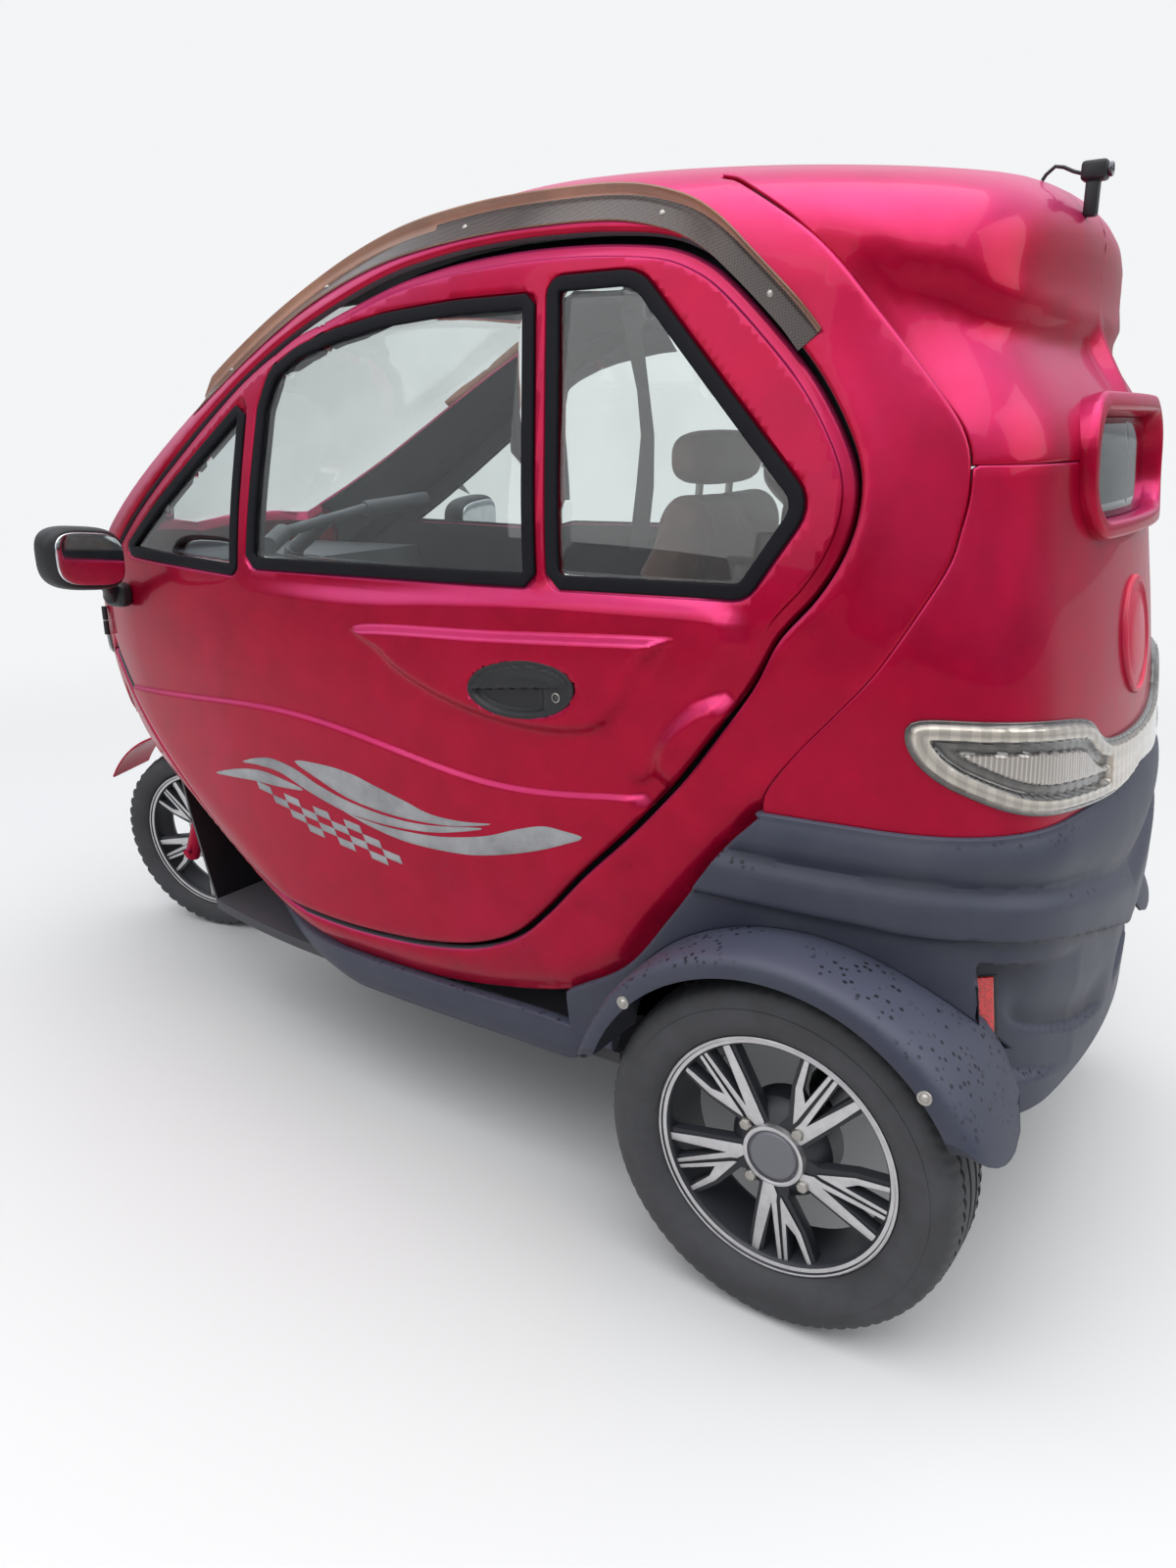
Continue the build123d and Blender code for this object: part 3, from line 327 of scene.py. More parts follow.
def filled(lines):
    """A flat bmesh filled between closed lines."""
    bm = bmesh.new()
    edges = []
    for line in lines:
        verts = [bm.verts.new((u, w, 0)) for u, w in line]
        edges += [bm.edges.new((a, b)) for a, b in zip(verts, verts[1:] + verts[:1])]
    bmesh.ops.triangle_fill(bm, use_beauty=True, use_dissolve=False, edges=edges,
                            normal=(0, 0, 1))
    return bm


def flip_side(bm, side):
    """Turns a left-hand mesh into a right-hand one, for side -1."""
    if side < 0:
        bmesh.ops.scale(bm, verts=bm.verts[:], vec=(1, -1, 1))
        bmesh.ops.reverse_faces(bm, faces=bm.faces[:])
    return bm


def mirror_over(bm):
    """Adds the right-hand half of a left-hand mesh."""
    right = flip_side(bm.copy(), -1)
    take_in(bm, right)
    seam = [v for v in bm.verts if abs(v.co.y) < 2e-5]
    bmesh.ops.remove_doubles(bm, verts=seam, dist=4e-5)
    return bm


ROUND_LIP = ((.30, .05), (.60, .20), (.85, .47), (1.0, 1.0))


def lip_steps(radius, depth):
    return [(out * radius, back * radius) for out, back in ROUND_LIP] + [(radius, depth)]


def extruded_rim(bm, edges, ring):
    """Extrudes a rim once; returns its new edges and each new vertex with its skin vertex."""
    made = bmesh.ops.extrude_edge_only(bm, edges=edges)["geom"]
    edges = [g for g in made if isinstance(g, bmesh.types.BMEdge) and g.is_boundary]
    return edges, {v: next(ring[o.other_vert(v)] for o in v.link_edges if o.other_vert(v) in ring)
                   for e in edges for v in e.verts}


def body_panel(chart, lines, cell, lip, wall, relief=0.0, centred=False):
    """A closed panel of the bodywork, from its outline and holes in a flat chart."""
    bm = filled(lines)
    cut_in_cells(bm, cell)
    bm.verts.ensure_lookup_table()
    origins, ways = chart[0](np.array([v.co[:2] for v in bm.verts]))
    skin = cast(origins, ways)
    normals = body_normals(skin)
    skin = skin + normals * (relief(skin)[:, None] if callable(relief) else relief)
    back = skin - normals * wall
    if centred:
        middle = np.abs(ways[:, 1]) < 1e-6
        skin[middle, 1] = back[middle, 1] = normals[middle, 1] = 0.0
    for v, at in zip(bm.verts, skin):
        v.co = at
    bm.normal_update()
    if sum(v.normal.dot(Vector(n)) for v, n in zip(bm.verts, normals)) < 0:
        bmesh.ops.reverse_faces(bm, faces=bm.faces[:])
    outer = bm.verts[:]
    normal_of = {v: Vector(n) for v, n in zip(outer, normals)}
    made = bmesh.ops.duplicate(bm, geom=whole(bm))
    twin = made["vert_map"]
    for v, at in zip(outer, back):
        twin[v].co = at
    copied = [g for g in made["geom"] if isinstance(g, bmesh.types.BMFace)]
    bmesh.ops.reverse_faces(bm, faces=copied)
    rim = [e for e in bm.edges if e.is_boundary and e.verts[0] in normal_of
           and not (centred and max(abs(v.co.y) for v in e.verts) <= 1e-6)]
    out = {}
    for e in rim:
        loop = e.link_loops[0]
        ends = loop.vert, loop.link_loop_next.vert
        run = (ends[1].co - ends[0].co).normalized()
        for v in ends:
            out.setdefault(v, []).append(run.cross(normal_of[v]).normalized())
    moves = {}
    for v, ways_out in out.items():
        total = sum(ways_out, Vector())
        way = total.normalized()
        if centred and abs(v.co.y) < 1e-6:
            way.y = 0.0
            way.normalize()
        stretch = 1 / max(.6, total.length / len(ways_out))
        moves[v] = (v.co.copy(), way * stretch, normal_of[v])
    ring = {v: v for v in moves}
    for step in lip:
        rim, ring = extruded_rim(bm, rim, ring)
        for v, base in ring.items():
            at, way, normal = moves[base]
            out_by, back_by = step(at) if callable(step) else step
            v.co = at + way * out_by - normal * back_by
    _, ring = extruded_rim(bm, rim, ring)
    bmesh.ops.weld_verts(bm, targetmap={v: twin[base] for v, base in ring.items()})
    return bm


def centre_panel(chart, runs, cell, lip, wall, relief=0.0, holes=()):
    """A panel across the centre line, from the runs of skin points round its left half."""
    outline = []
    for run in runs:
        for point in chart[1](np.array(run, float)):
            if not outline or np.linalg.norm(outline[-1] - point) > 1e-6:
                outline.append(point)
    if np.linalg.norm(outline[0] - outline[-1]) < 1e-6:
        outline.pop()
    outline = np.array(outline)
    outline[np.abs(outline[:, 1]) < 1e-9, 1] = 0.0
    return mirror_over(body_panel(chart, [outline, *holes], cell, lip, wall, relief, centred=True))


def take_in(target, source):
    """Moves a bmesh's geometry into another."""
    mesh = bpy.data.meshes.new("part")
    source.to_mesh(mesh)
    source.free()
    target.from_mesh(mesh)
    bpy.data.meshes.remove(mesh)


def collected(*parts):
    """One bmesh from (material index, bmesh) parts."""
    bm = bmesh.new()
    for index, part in parts:
        for face in part.faces:
            face.material_index = index
        take_in(bm, part)
    return bm


def both_sides(build):
    """A left-hand piece with its right-hand twin."""
    both = bmesh.new()
    for side, _ in SIDES:
        take_in(both, flip_side(build(), side))
    return both


def placed(bm, matrix):
    bmesh.ops.transform(bm, matrix=matrix, verts=bm.verts[:])
    return bm


def store(bm, name, values):
    """Keeps a number for each vertex, for a material to read."""
    layer = bm.verts.layers.float.new(name)
    for v, value in zip(bm.verts, values):
        v[layer] = value


def places_in(verts):
    return np.array([v.co for v in verts])


# Finished objects

SIDES = ((1, "left"), (-1, "right"))


def linked(name, bm):
    """A new object in the scene from a bmesh."""
    mesh = bpy.data.meshes.new(name)
    bm.to_mesh(mesh)
    bm.free()
    obj = bpy.data.objects.new(name, mesh)
    bpy.context.scene.collection.objects.link(obj)
    return obj


def make_object(name, bm, finishes, node=None, body="chassis", sharp=50.0):
    """Turns a bmesh in vehicle places into an object in the shared frame."""
    bmesh.ops.translate(bm, verts=bm.verts[:], vec=SHIFT)
    for face in bm.faces:
        face.smooth = True
    for edge in bm.edges:
        if sharp and len(edge.link_faces) == 2:
            edge.smooth = edge.calc_face_angle(0.0) <= math.radians(sharp)
    obj = linked(name, bm)
    for key in finishes.split():
        obj.data.materials.append(shade(key))
    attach(obj, body)
    if node:
        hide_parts(node)
    return obj


# Side-view outlines of the openings and seams (x, z)
DOOR_LINE = rounded(((1.001, 1.250), (.885, 1.306), (.715, 1.363), (.599, 1.383), (.492, 1.391),
    (.399, 1.392), (.312, 1.388), (.229, 1.377), (.174, 1.355), (.133, 1.327), (.077, 1.276),
    (.025, 1.222), (-.015, 1.166), (-.040, 1.115), (-.045, 1.068), (-.034, 1.020), (-.008, .972),
    (.033, .922), (.062, .862), (.106, .798), (.160, .727), (.236, .644), (.320, .562),
    (.394, .483), (.458, .427), (.540, .388), (.640, .364), (.739, .352), (.836, .346),
    (.935, .347), (1.020, .356), (1.095, .378), (1.158, .420), (1.222, .472), (1.290, .536),
    (1.382, .617), (1.462, .690), (1.520, .742), (1.552, .773), (1.562, .796), (1.553, .824),
    (1.520, .868), (1.478, .916), (1.430, .957), (1.330, 1.030), (1.210, 1.112), (1.105, 1.184)),
    .011)
FRONT_WINDOW = filleted(((.971, .952, .018), (.958, 1.195, .040), (.936, 1.250, .045),
    (.880, 1.282, .12), (.800, 1.304, .18), (.700, 1.319, .30), (.560, 1.327, .50),
    (.424, 1.327, .014), (.386, .962, .016)), .011)
REAR_SIDE_WINDOW = filleted(((.362, .962, .020), (.401, 1.345, .020), (.265, 1.345, .060),
    (.010, 1.078, .040), (.080, .966, .030)), .011)
QUARTER_WINDOW = filleted(((1.392, .948, .012), (.993, 1.214, .010), (1.001, .938, .012)), .011)
WINDOW_LINES = (FRONT_WINDOW, REAR_SIDE_WINDOW, QUARTER_WINDOW)
SEAM_LINE = ((.190, 1.446), (.150, 1.432), (.042, 1.362), (-.043, 1.276), (-.116, 1.193),
    (-.148, 1.143), (-.156, 1.095), (-.153, 1.050), (-.142, 1.000), (-.090, .901), (-.040, .838),
    (.004, .787), (.041, .735), (.047, .703))
LOWER_LINE = ((.047, .703), (.103, .643), (.180, .533), (.265, .425), (.374, .353), (.528, .312),
    (.680, .291), (.900, .287), (1.100, .289), (1.200, .293), (1.290, .318), (1.393, .400),
    (1.489, .543), (1.545, .640))
TAIL_SEAM_Z = 1.118
NOSE_SEAM_X = 1.545
BUMPER_TOP_Z = .703


# Materials

def material(name):
    """A new node material with its tree."""
    made = bpy.data.materials.new(name)
    made.use_nodes = True
    return made, made.node_tree


def set_inputs(tree, node, inputs):
    """Links or sets a node's inputs."""
    for key, value in inputs.items():
        if isinstance(value, bpy.types.NodeSocket):
            tree.links.new(value, node.inputs[key])
        else:
            node.inputs[key].default_value = value


def add_node(tree, kind, inputs=None, **settings):
    node = tree.nodes.new(kind)
    for key, value in settings.items():
        setattr(node, key, value)
    set_inputs(tree, node, inputs or {})
    return node


def finished(made, colour, rough, values, bump=None):
    """Gives a material's main shader its colour, roughness, other values and bump."""
    tree = made.node_tree
    inputs = {"Base Color": colour, "Roughness": rough, **values}
    if bump:
        height, strength, distance = bump
        inputs["Normal"] = add_node(tree, "ShaderNodeBump", {
            "Height": height, "Strength": strength, "Distance": distance}).outputs["Normal"]
    set_inputs(tree, tree.nodes["Principled BSDF"], inputs)
    return made


def places_of(tree, scale=(1, 1, 1), turn=(0, 0, 0), move=(0, 0, 0)):
    coords = add_node(tree, "ShaderNodeTexCoord")
    return add_node(tree, "ShaderNodeMapping", {
        "Vector": coords.outputs["Object"], "Scale": scale, "Rotation": turn,
        "Location": move}).outputs["Vector"]


def noise(tree, vector, scale, detail=3.0, roughness=.5):
    return add_node(tree, "ShaderNodeTexNoise", {
        "Vector": vector, "Scale": scale, "Detail": detail, "Roughness": roughness}).outputs["Fac"]


def ramp(tree, factor, stops):
    """Colour ramp from (place, colour) stops; a number stands for a grey."""
    node = add_node(tree, "ShaderNodeValToRGB", {"Fac": factor})
    points = node.color_ramp.elements
    while len(points) < len(stops):
        points.new(.5)
    for point, (at, colour) in zip(points, stops):
        point.position = at
        grey = isinstance(colour, (int, float))
        point.color = (colour, colour, colour, 1) if grey else (*colour, 1)
    return node.outputs["Color"]


def cells(tree, vector, scale, **settings):
    return add_node(tree, "ShaderNodeTexVoronoi", {"Vector": vector, "Scale": scale},
                    **settings).outputs["Distance"]


def stored(tree, name):
    """A number that a piece keeps for each vertex."""
    return add_node(tree, "ShaderNodeAttribute", attribute_name=name).outputs["Fac"]


def span(tree, value, low, high, kind="SMOOTHSTEP"):
    """0 at low and 1 at high."""
    return add_node(tree, "ShaderNodeMapRange", {
        "Value": value, "From Min": low, "From Max": high},
        interpolation_type=kind).outputs["Result"]


def facing_up(tree, low=.35, high=.95):
    """Share of a surface that faces the sky, on the object's own normals."""
    geometry = add_node(tree, "ShaderNodeNewGeometry")
    split = add_node(tree, "ShaderNodeSeparateXYZ", {"Vector": geometry.outputs["Normal"]})
    return span(tree, split.outputs["Z"], low, high)


def mixed(tree, factor, first, second, blend="MIX"):
    """Two colours mixed; a tuple stands for a plain colour."""
    sides = [(*side, 1) if isinstance(side, (tuple, list)) else side for side in (first, second)]
    return add_node(tree, "ShaderNodeMix", {"Factor": factor, "A": sides[0], "B": sides[1]},
                    data_type="RGBA", blend_type=blend).outputs["Result"]


def maths(tree, operation, *values):
    return add_node(tree, "ShaderNodeMath", dict(enumerate(values)), operation=operation).outputs[0]


def times(tree, first, second):
    return maths(tree, "MULTIPLY", first, second)


def scaled(colour, by):
    return [c * by for c in colour]


def paint_material():
    """Metallic crimson lacquer, clouded, with a painted pink highlight where it faces the sky."""
    colour = bpy.context.scene.scooter_looks.paint
    made, tree = material("crimson_lacquer")
    where = places_of(tree)
    cloud = noise(tree, where, 2.6, 6.0, .62)
    fine = noise(tree, where, 15.0, 5.0, .62)
    streak = noise(tree, places_of(tree, scale=(3.0, 3.0, 1.2)), 2.0, 4.0, .6)
    flake = noise(tree, where, 2600.0, 1.0)
    base = ramp(tree, fine, ((.35, scaled(colour, .82)), (.65, colour)))
    # Painted highlight: faces towards the sky are mixed, in patches, towards a pale pink.
    up = facing_up(tree, .02, .80)
    patchy = ramp(tree, cloud, ((.34, .62), (.66, 1.0)))
    painted_sky_highlight = mixed(tree, times(tree, up, patchy), base, (.58, .046, .180))
    misty = ramp(tree, times(tree, cloud, streak), ((.26, 0.0), (.50, .22)))
    clouded = mixed(tree, misty, painted_sky_highlight, (.52, .022, .100))
    return finished(made, clouded, ramp(tree, fine, ((.3, .27), (.7, .36))), {
        "Metallic": .55, "Specular IOR Level": 0.0, "Coat Weight": .32, "Coat Roughness": .04,
        "Coat IOR": 1.4}, (flake, .05, .0002))


def plastic_material(name, colour, rough=(.42, .58), grain=900.0, strength=.12, dust=.10,
                     spots=0.0):
    """Moulded plastic with a fine grain, a little dust, dried water spots, painted light on faces
    towards the sky and painted shade where a piece stores it.
    """
    made, tree = material(name)
    where = places_of(tree)
    cloud = noise(tree, where, 6.0, 5.0, .6)
    dusty = [c * (1 - dust) + .22 * dust for c in colour]
    base = ramp(tree, cloud, ((.38, colour), (.75, dusty)))
    # Painted light: faces towards the sky are made lighter, and a little dust is added to the same
    # colour.
    painted_top_light = [min(1.0, c * 1.7 + .2 * dust) for c in colour]
    base = mixed(tree, times(tree, facing_up(tree), .75), base, painted_top_light)
    # Painted shade: darker where a piece stores a share of shade.
    base = mixed(tree, stored(tree, "painted_shade_share"), base, scaled(colour, .35))
    if spots:
        dots = ramp(tree, cells(tree, where, 88.0), ((.24, 1.0), (.31, 0.0)))
        patches = ramp(tree, noise(tree, where, 9.0, 3.0), ((.44, 0.0), (.54, 1.0)))
        shown = times(tree, times(tree, dots, patches), facing_up(tree, .20, .60))
        base = mixed(tree, times(tree, shown, spots), base, scaled(colour, .22))
    return finished(made, base, ramp(tree, cloud, ((.3, rough[0]), (.7, rough[1]))),
                    {"Specular IOR Level": .32}, (noise(tree, where, grain, 2.0), strength, .0004))


def slate_material():
    """The bumper's and mudguards' plastic, in the panel's colour."""
    return plastic_material("slate_plastic", bpy.context.scene.scooter_looks.plastic, spots=.9)


def lens_material(name, colour, rough, scale, strength):
    """Moulded lamp or reflector face with small prisms under a clear coat."""
    made, tree = material(name)
    prisms = cells(tree, places_of(tree), scale, distance="CHEBYCHEV")
    return finished(made, ramp(tree, prisms, ((.15, scaled(colour, .45)), (.55, colour))),
                    ramp(tree, prisms, ((.2, rough), (.7, rough + .1))),
                    {"Metallic": .3, "Coat Weight": 1.0, "Coat Roughness": .03},
                    (prisms, strength, .0006))


def stripe_material():
    """Silver-grey film, clouded and scuffed."""
    made, tree = material("silver_stripe_film")
    where = places_of(tree)
    cloud = noise(tree, where, 9.0, 5.0, .65)
    scuffs = noise(tree, places_of(tree, scale=(3.0, 3.0, 30.0)), 8.0, 4.0, .7)
    base = ramp(tree, cloud, ((.35, (.20, .20, .21)), (.65, (.34, .34, .35))))
    worn = ramp(tree, scuffs, ((.60, 0.0), (.72, .6)))
    return finished(made, mixed(tree, worn, base, (.44, .40, .41)),
                    ramp(tree, cloud, ((.3, .34), (.7, .5))), {"Metallic": .35},
                    (scuffs, .08, .0003))


def visor_material(name, colour, see_through, pattern):
    """Smoked acrylic; its foot carries a fine printed pattern."""
    made, tree = material(name)
    smear = noise(tree, places_of(tree), 7.0, 5.0, .6)
    base = ramp(tree, smear, ((.35, scaled(colour, .8)), (.7, scaled(colour, 1.25))))
    if pattern:
        waves = add_node(tree, "ShaderNodeTexChecker", {
            "Vector": places_of(tree, turn=(0, .6, 0)), "Scale": 420.0,
            "Color1": (1, 1, 1, 1), "Color2": (.30, .26, .25, 1)})
        base = mixed(tree, 1.0, base, waves.outputs["Color"], "MULTIPLY")
    return finished(made, base, ramp(tree, smear, ((.3, .12), (.8, .28))),
                    {"Transmission Weight": see_through}, (smear, .05, .0005))


def leather_material():
    """Brown leatherette with a pebbled grain, paler on the crowns of its grain and darker in its
    dips.
    """
    made, tree = material("brown_leatherette")
    where = places_of(tree)
    cloud = noise(tree, where, 7.0, 5.0, .62)
    pebbles = cells(tree, where, 420.0)
    base = ramp(tree, cloud, ((.35, (.150, .056, .040)), (.65, (.205, .082, .060))))
    dips = ramp(tree, pebbles, ((.05, .6), (.45, 1.0)))
    return finished(made, mixed(tree, .7, base, dips, "MULTIPLY"),
                    ramp(tree, cloud, ((.3, .48), (.7, .62))), {}, (pebbles, .35, .0006))


def webbing_material():
    """Black woven belt."""
    made, tree = material("belt_webbing")
    weave = add_node(tree, "ShaderNodeTexChecker", {
        "Vector": places_of(tree, scale=(700.0, 700.0, 420.0)), "Scale": 1.0,
        "Color1": (.030, .030, .032, 1), "Color2": (.012, .012, .013, 1)})
    return finished(made, weave.outputs["Color"],
                    ramp(tree, weave.outputs["Fac"], ((.0, .6), (1.0, .8))), {},
                    (weave.outputs["Fac"], .4, .0004))


def rubber_material(name, colour=(.026, .026, .029), scale=500.0, shine=.5):
    made, tree = material(name)
    where = places_of(tree)
    cloud = noise(tree, where, 14.0, 6.0, .65)
    return finished(made, ramp(tree, cloud, ((.4, colour), (.8, scaled(colour, 1.7 + shine)))),
                    ramp(tree, cloud, ((.3, .55), (.7, .75))), {"Specular IOR Level": shine},
                    (noise(tree, where, scale, 3.0), .15, .0004))


def metal_material(name, colour, rough):
    made, tree = material(name)
    where = places_of(tree)
    cloud = noise(tree, where, 40.0, 6.0, .7)
    return finished(made, ramp(tree, cloud, ((.35, scaled(colour, .8)), (.65, colour))),
                    ramp(tree, cloud, ((.3, rough[0]), (.7, rough[1]))), {"Metallic": 1.0},
                    (noise(tree, where, 1200.0, 2.0), .06, .0003))


def glass_material(name, tint, rough=0.0):
    """Clear pane with faint smears."""
    made, tree = material(name)
    smear = noise(tree, places_of(tree), 5.0, 4.0)
    return finished(made, ramp(tree, smear, ((.45, tint), (.75, scaled(tint, .93)))),
                    ramp(tree, smear, ((.5, rough), (.9, rough + .02))),
                    {"Transmission Weight": 1.0, "IOR": 1.5, "Specular IOR Level": .07})


def lamp_material():
    """Clear lens over a bright ribbed light guide and a smoked channel."""
    made, tree = material("tail_lamp_lens")
    share = times(tree, stored(tree, "inset"), 25.0)
    along = stored(tree, "along")
    ribs, dots = (maths(tree, "SINE", times(tree, along, 2 * math.pi / gap))
                  for gap in (.019, .0055))
    whole = ramp(tree, share, (
        (.0, (.05, .045, .04)), (.06, (.12, .10, .09)), (.13, (.50, .45, .38)),
        (.30, (.30, .27, .23)), (.44, (.54, .49, .42)), (.49, (.030, .028, .026)),
        (.56, (.05, .046, .042)), (.70, (.12, .11, .10)), (.82, (.035, .032, .030)),
        (.90, (.42, .38, .34))))
    plain = ramp(tree, share, (
        (.0, (.05, .045, .04)), (.10, (.24, .21, .17)), (.20, (.48, .40, .31)),
        (.45, (.36, .30, .23)), (.70, (.50, .43, .35))))
    outer = span(tree, along, LAMP_INNER_END - .002, LAMP_INNER_END + .002, "LINEAR")
    cut = mixed(tree, ramp(tree, share, ((.78, 0.0), (.86, 1.0))),
                ramp(tree, ribs, ((.0, .80), (.25, 1.0), (1.0, 1.0))),
                ramp(tree, dots, ((.2, .60), (.7, 1.0))))
    return finished(made, mixed(tree, 1.0, mixed(tree, outer, plain, whole), cut, "MULTIPLY"),
                    ramp(tree, noise(tree, places_of(tree), 60.0), ((.3, .16), (.7, .28))),
                    {"Metallic": .35, "Coat Weight": 1.0, "Coat Roughness": .03},
                    (ribs, .3, .0008))


def headlamp_material():
    """Clear lens over a chromed bowl with a light bar in its middle."""
    made, tree = material("headlamp_lens")
    share = times(tree, stored(tree, "inset"), 25.0)
    shown = ramp(tree, share, ((.0, (.020, .020, .022)), (.10, (.04, .04, .045)),
                               (.17, (.58, .59, .60)), (.42, (.26, .27, .28)),
                               (.58, (.10, .10, .11)), (.68, (.60, .61, .62)),
                               (.90, (.78, .79, .80))))
    return finished(made, shown,
                    ramp(tree, noise(tree, places_of(tree), 60.0), ((.3, .14), (.7, .24))),
                    {"Metallic": .55, "Coat Weight": 1.0, "Coat Roughness": .02})


FINISHES = {
    "paint": (paint_material,),
    "grey_plastic": (slate_material,),
    "black_plastic": (plastic_material, "black_plastic", (.012, .012, .014), (.34, .48), 1200.0,
                      .08, .03),
    "cabin_plastic": (plastic_material, "cabin_plastic", (.040, .040, .046), (.5, .65), 700.0, .2),
    "dash_plastic": (plastic_material, "dash_plastic", (.16, .17, .19), (.45, .6), 700.0, .15),
    "seal": (rubber_material, "window_seal", (.005, .005, .007), 900.0, .12),
    "tyre": (rubber_material, "tyre_rubber"),
    "glass": (glass_material, "window_glass", (.84, .88, .87)),
    "rear_glass": (glass_material, "rear_window_glass", (.55, .60, .60), .03),
    "dark_glass": (lens_material, "camera_glass", (.02, .02, .03), .05, 40.0, .05),
    "mirror_glass": (metal_material, "mirror_glass", (.80, .82, .84), (.01, .03)),
    "reflector": (lens_material, "red_reflector", (.62, .004, .008), .12, 330.0, .6),
    "tail_lamp": (lamp_material,),
    "headlamp": (headlamp_material,),
    "stripe": (stripe_material,),
    "visor": (visor_material, "visor_acrylic", (.34, .17, .11), .35, False),
    "visor_band": (visor_material, "visor_printed_foot", (.060, .036, .030), 0.0, True),
    "leather": (leather_material,),
    "webbing": (webbing_material,),
    "disc": (plastic_material, "disc_lacquer", (.42, .012, .045), (.25, .4), 1500.0, .03),
    "alloy": (metal_material, "machined_alloy", (.60, .59, .60), (.30, .45)),
    "rim_dark": (plastic_material, "dark_rim_lacquer", (.016, .017, .021), (.3, .42), 1500.0,
                 .05, .04),
    "nut": (metal_material, "zinc_nut", (.42, .40, .37), (.35, .55)),
    "cap": (plastic_material, "centre_cap", (.13, .13, .145), (.28, .4), 900.0, .05),
    "steel": (metal_material, "frame_steel", (.10, .10, .105), (.4, .6)),
}
_shades = {}


def shade(key):
    """Each finish is made once."""
    if key not in _shades:
        maker, *values = FINISHES[key]
        _shades[key] = maker(*values)
    return _shades[key]


# Bodywork

FIELD_LINE = rounded(((1.70, .930), (1.20, .915), (.758, .912), (.537, .925), (.351, .936),
    (.204, .940), (.130, .940), (.102, .930), (.100, .912), (.137, .841), (.204, .750),
    (.240, .715), (.236, .690), (.215, .600), (.215, .200), (1.70, .200)), .02)
PAD_LINE = rounded(((.706, .884), (.440, .899), (.180, .913), (.176, .905), (.195, .873),
    (.216, .836), (.261, .784), (.324, .766), (.423, .766), (.528, .784), (.620, .816),
    (.667, .848)), .01)
LATCH_LINE = rounded(((.196, .722), (.186, .776), (.136, .833), (.098, .848), (.080, .822),
    (.140, .748)), .01)
HANDLE_LINE = rounded(((.478, .821), (.459, .845), (.419, .860), (.371, .867), (.326, .861),
    (.303, .844), (.308, .820), (.338, .800), (.385, .789), (.433, .790), (.467, .803)), .005)
CREASE_HEIGHT = smooth_curve(((-.02, .640), (.222, .699), (.299, .691), (.469, .681), (.659, .705),
    (.880, .728), (1.117, .719), (1.415, .695), (1.60, .680)))


def door_relief(skin):
    """Raised field, proud lower panel, handle pad and latch hood of a door."""
    flat = skin[:, [0, 2]]
    x, z = flat[:, 0], flat[:, 1]
    field = signed_distance(flat, FIELD_LINE)
    drop = 1 - ease(field, -.028, .001)
    fade = ease(x, 1.02, .70)
    height = -.014 * drop * np.where(z > .86, fade, 1.0)
    height = height + .0065 * ease(CREASE_HEIGHT(x) - z, 0.0, .008)
    pad = signed_distance(flat, PAD_LINE)
    below_top = .884 + (.706 - x) * .055 - z
    width = .0125 + .010 * ease(below_top, .012, .040)
    height = height + .018 * ease(pad / width, 0.0, 1.0)
    pocket = ease(signed_distance(flat, HANDLE_LINE), .001, .006)
    latch = signed_distance(flat, LATCH_LINE)
    return height + .024 * ease(latch, -.004, .020) - .016 * pocket


def door_edge(near, far):
    """An edge step that is wide and ribbed round the windows and narrow below."""
    def step(at):
        share = float(ease(at.z, .86, .96))
        return tuple(a * share + b * (1 - share) for a, b in zip(near, far))

    return step


DOOR_EDGE = [door_edge(*pair) for pair in (
    ((.0010, .0006), (.0045, .0002)), ((.0020, .0024), (.0085, .0008)),
    ((.0035, .0034), (.0125, .0018)), ((.0120, .0036), (.0155, .0036)),
    ((.0160, .0046), (.0175, .0062)), ((.0185, .0074), (.0188, .0095)),
    ((.0190, .0120), (.0190, .0130)), ((.0190, .0260), (.0190, .0260)))]
DOOR_INSET = .023


DOOR_FINE = ((.30, 2.0), (.618, .30), (.738, .60), (.862, .26), (.935, 1.1))


def door_rows(cell):
    """Heights of a door's mesh rows, close together where its folds lie."""
    rows, at = [], DOOR_FINE[0][0]
    while at < 1.42:
        scale = [share for start, share in DOOR_FINE if start <= at][-1]
        at += cell * scale
        rows.append(at)
    return rows


def lined(bm):
    """Marks the faces that look into the cabin, for its dark lining."""
    bm.normal_update()
    for face in bm.faces:
        outward = (face.calc_center_median() - Vector(CABIN_MIDDLE)).normalized()
        if face.normal.dot(outward) < -.30:
            face.material_index = 1
    return bm


CABIN_MIDDLE = (.45, 0.0, .85)
LINED_PAINT = "paint cabin_plastic"


def build_doors(props):
    lines = [grown(DOOR_LINE, -DOOR_INSET)] + [grown(w, .0065) for w in WINDOW_LINES]
    for side, name in SIDES:
        bm = body_panel(SIDE_CHART, lines, (props.door_cell, door_rows(props.door_cell)),
                        DOOR_EDGE, .030, door_relief)
        make_object(f"door_panel_{name}", lined(flip_side(bm, side)), LINED_PAINT,
                    f"door_{name}", f"door_{name}_body")


def seam_run(clearance=0.0):
    """Skin points down the tail seam, from the roof to the bumper."""
    line = rounded(SEAM_LINE, .012, closed=False)
    ahead = np.gradient(line, axis=0)
    normal = np.stack([-ahead[:, 1], ahead[:, 0]], -1)
    normal /= np.linalg.norm(normal, axis=1, keepdims=True)
    return on_side(line + normal * clearance)


def screen_side(x, inset=.052):
    """Skin points along the screen's side edge."""
    return on_top(x, half_width(x, CROWN(x) - .07) - inset)


SCREEN_X = np.linspace(.948, NOSE_SEAM_X, 46)
SCREEN_FOOT_Y = .232
SEAM_HALF = .0009


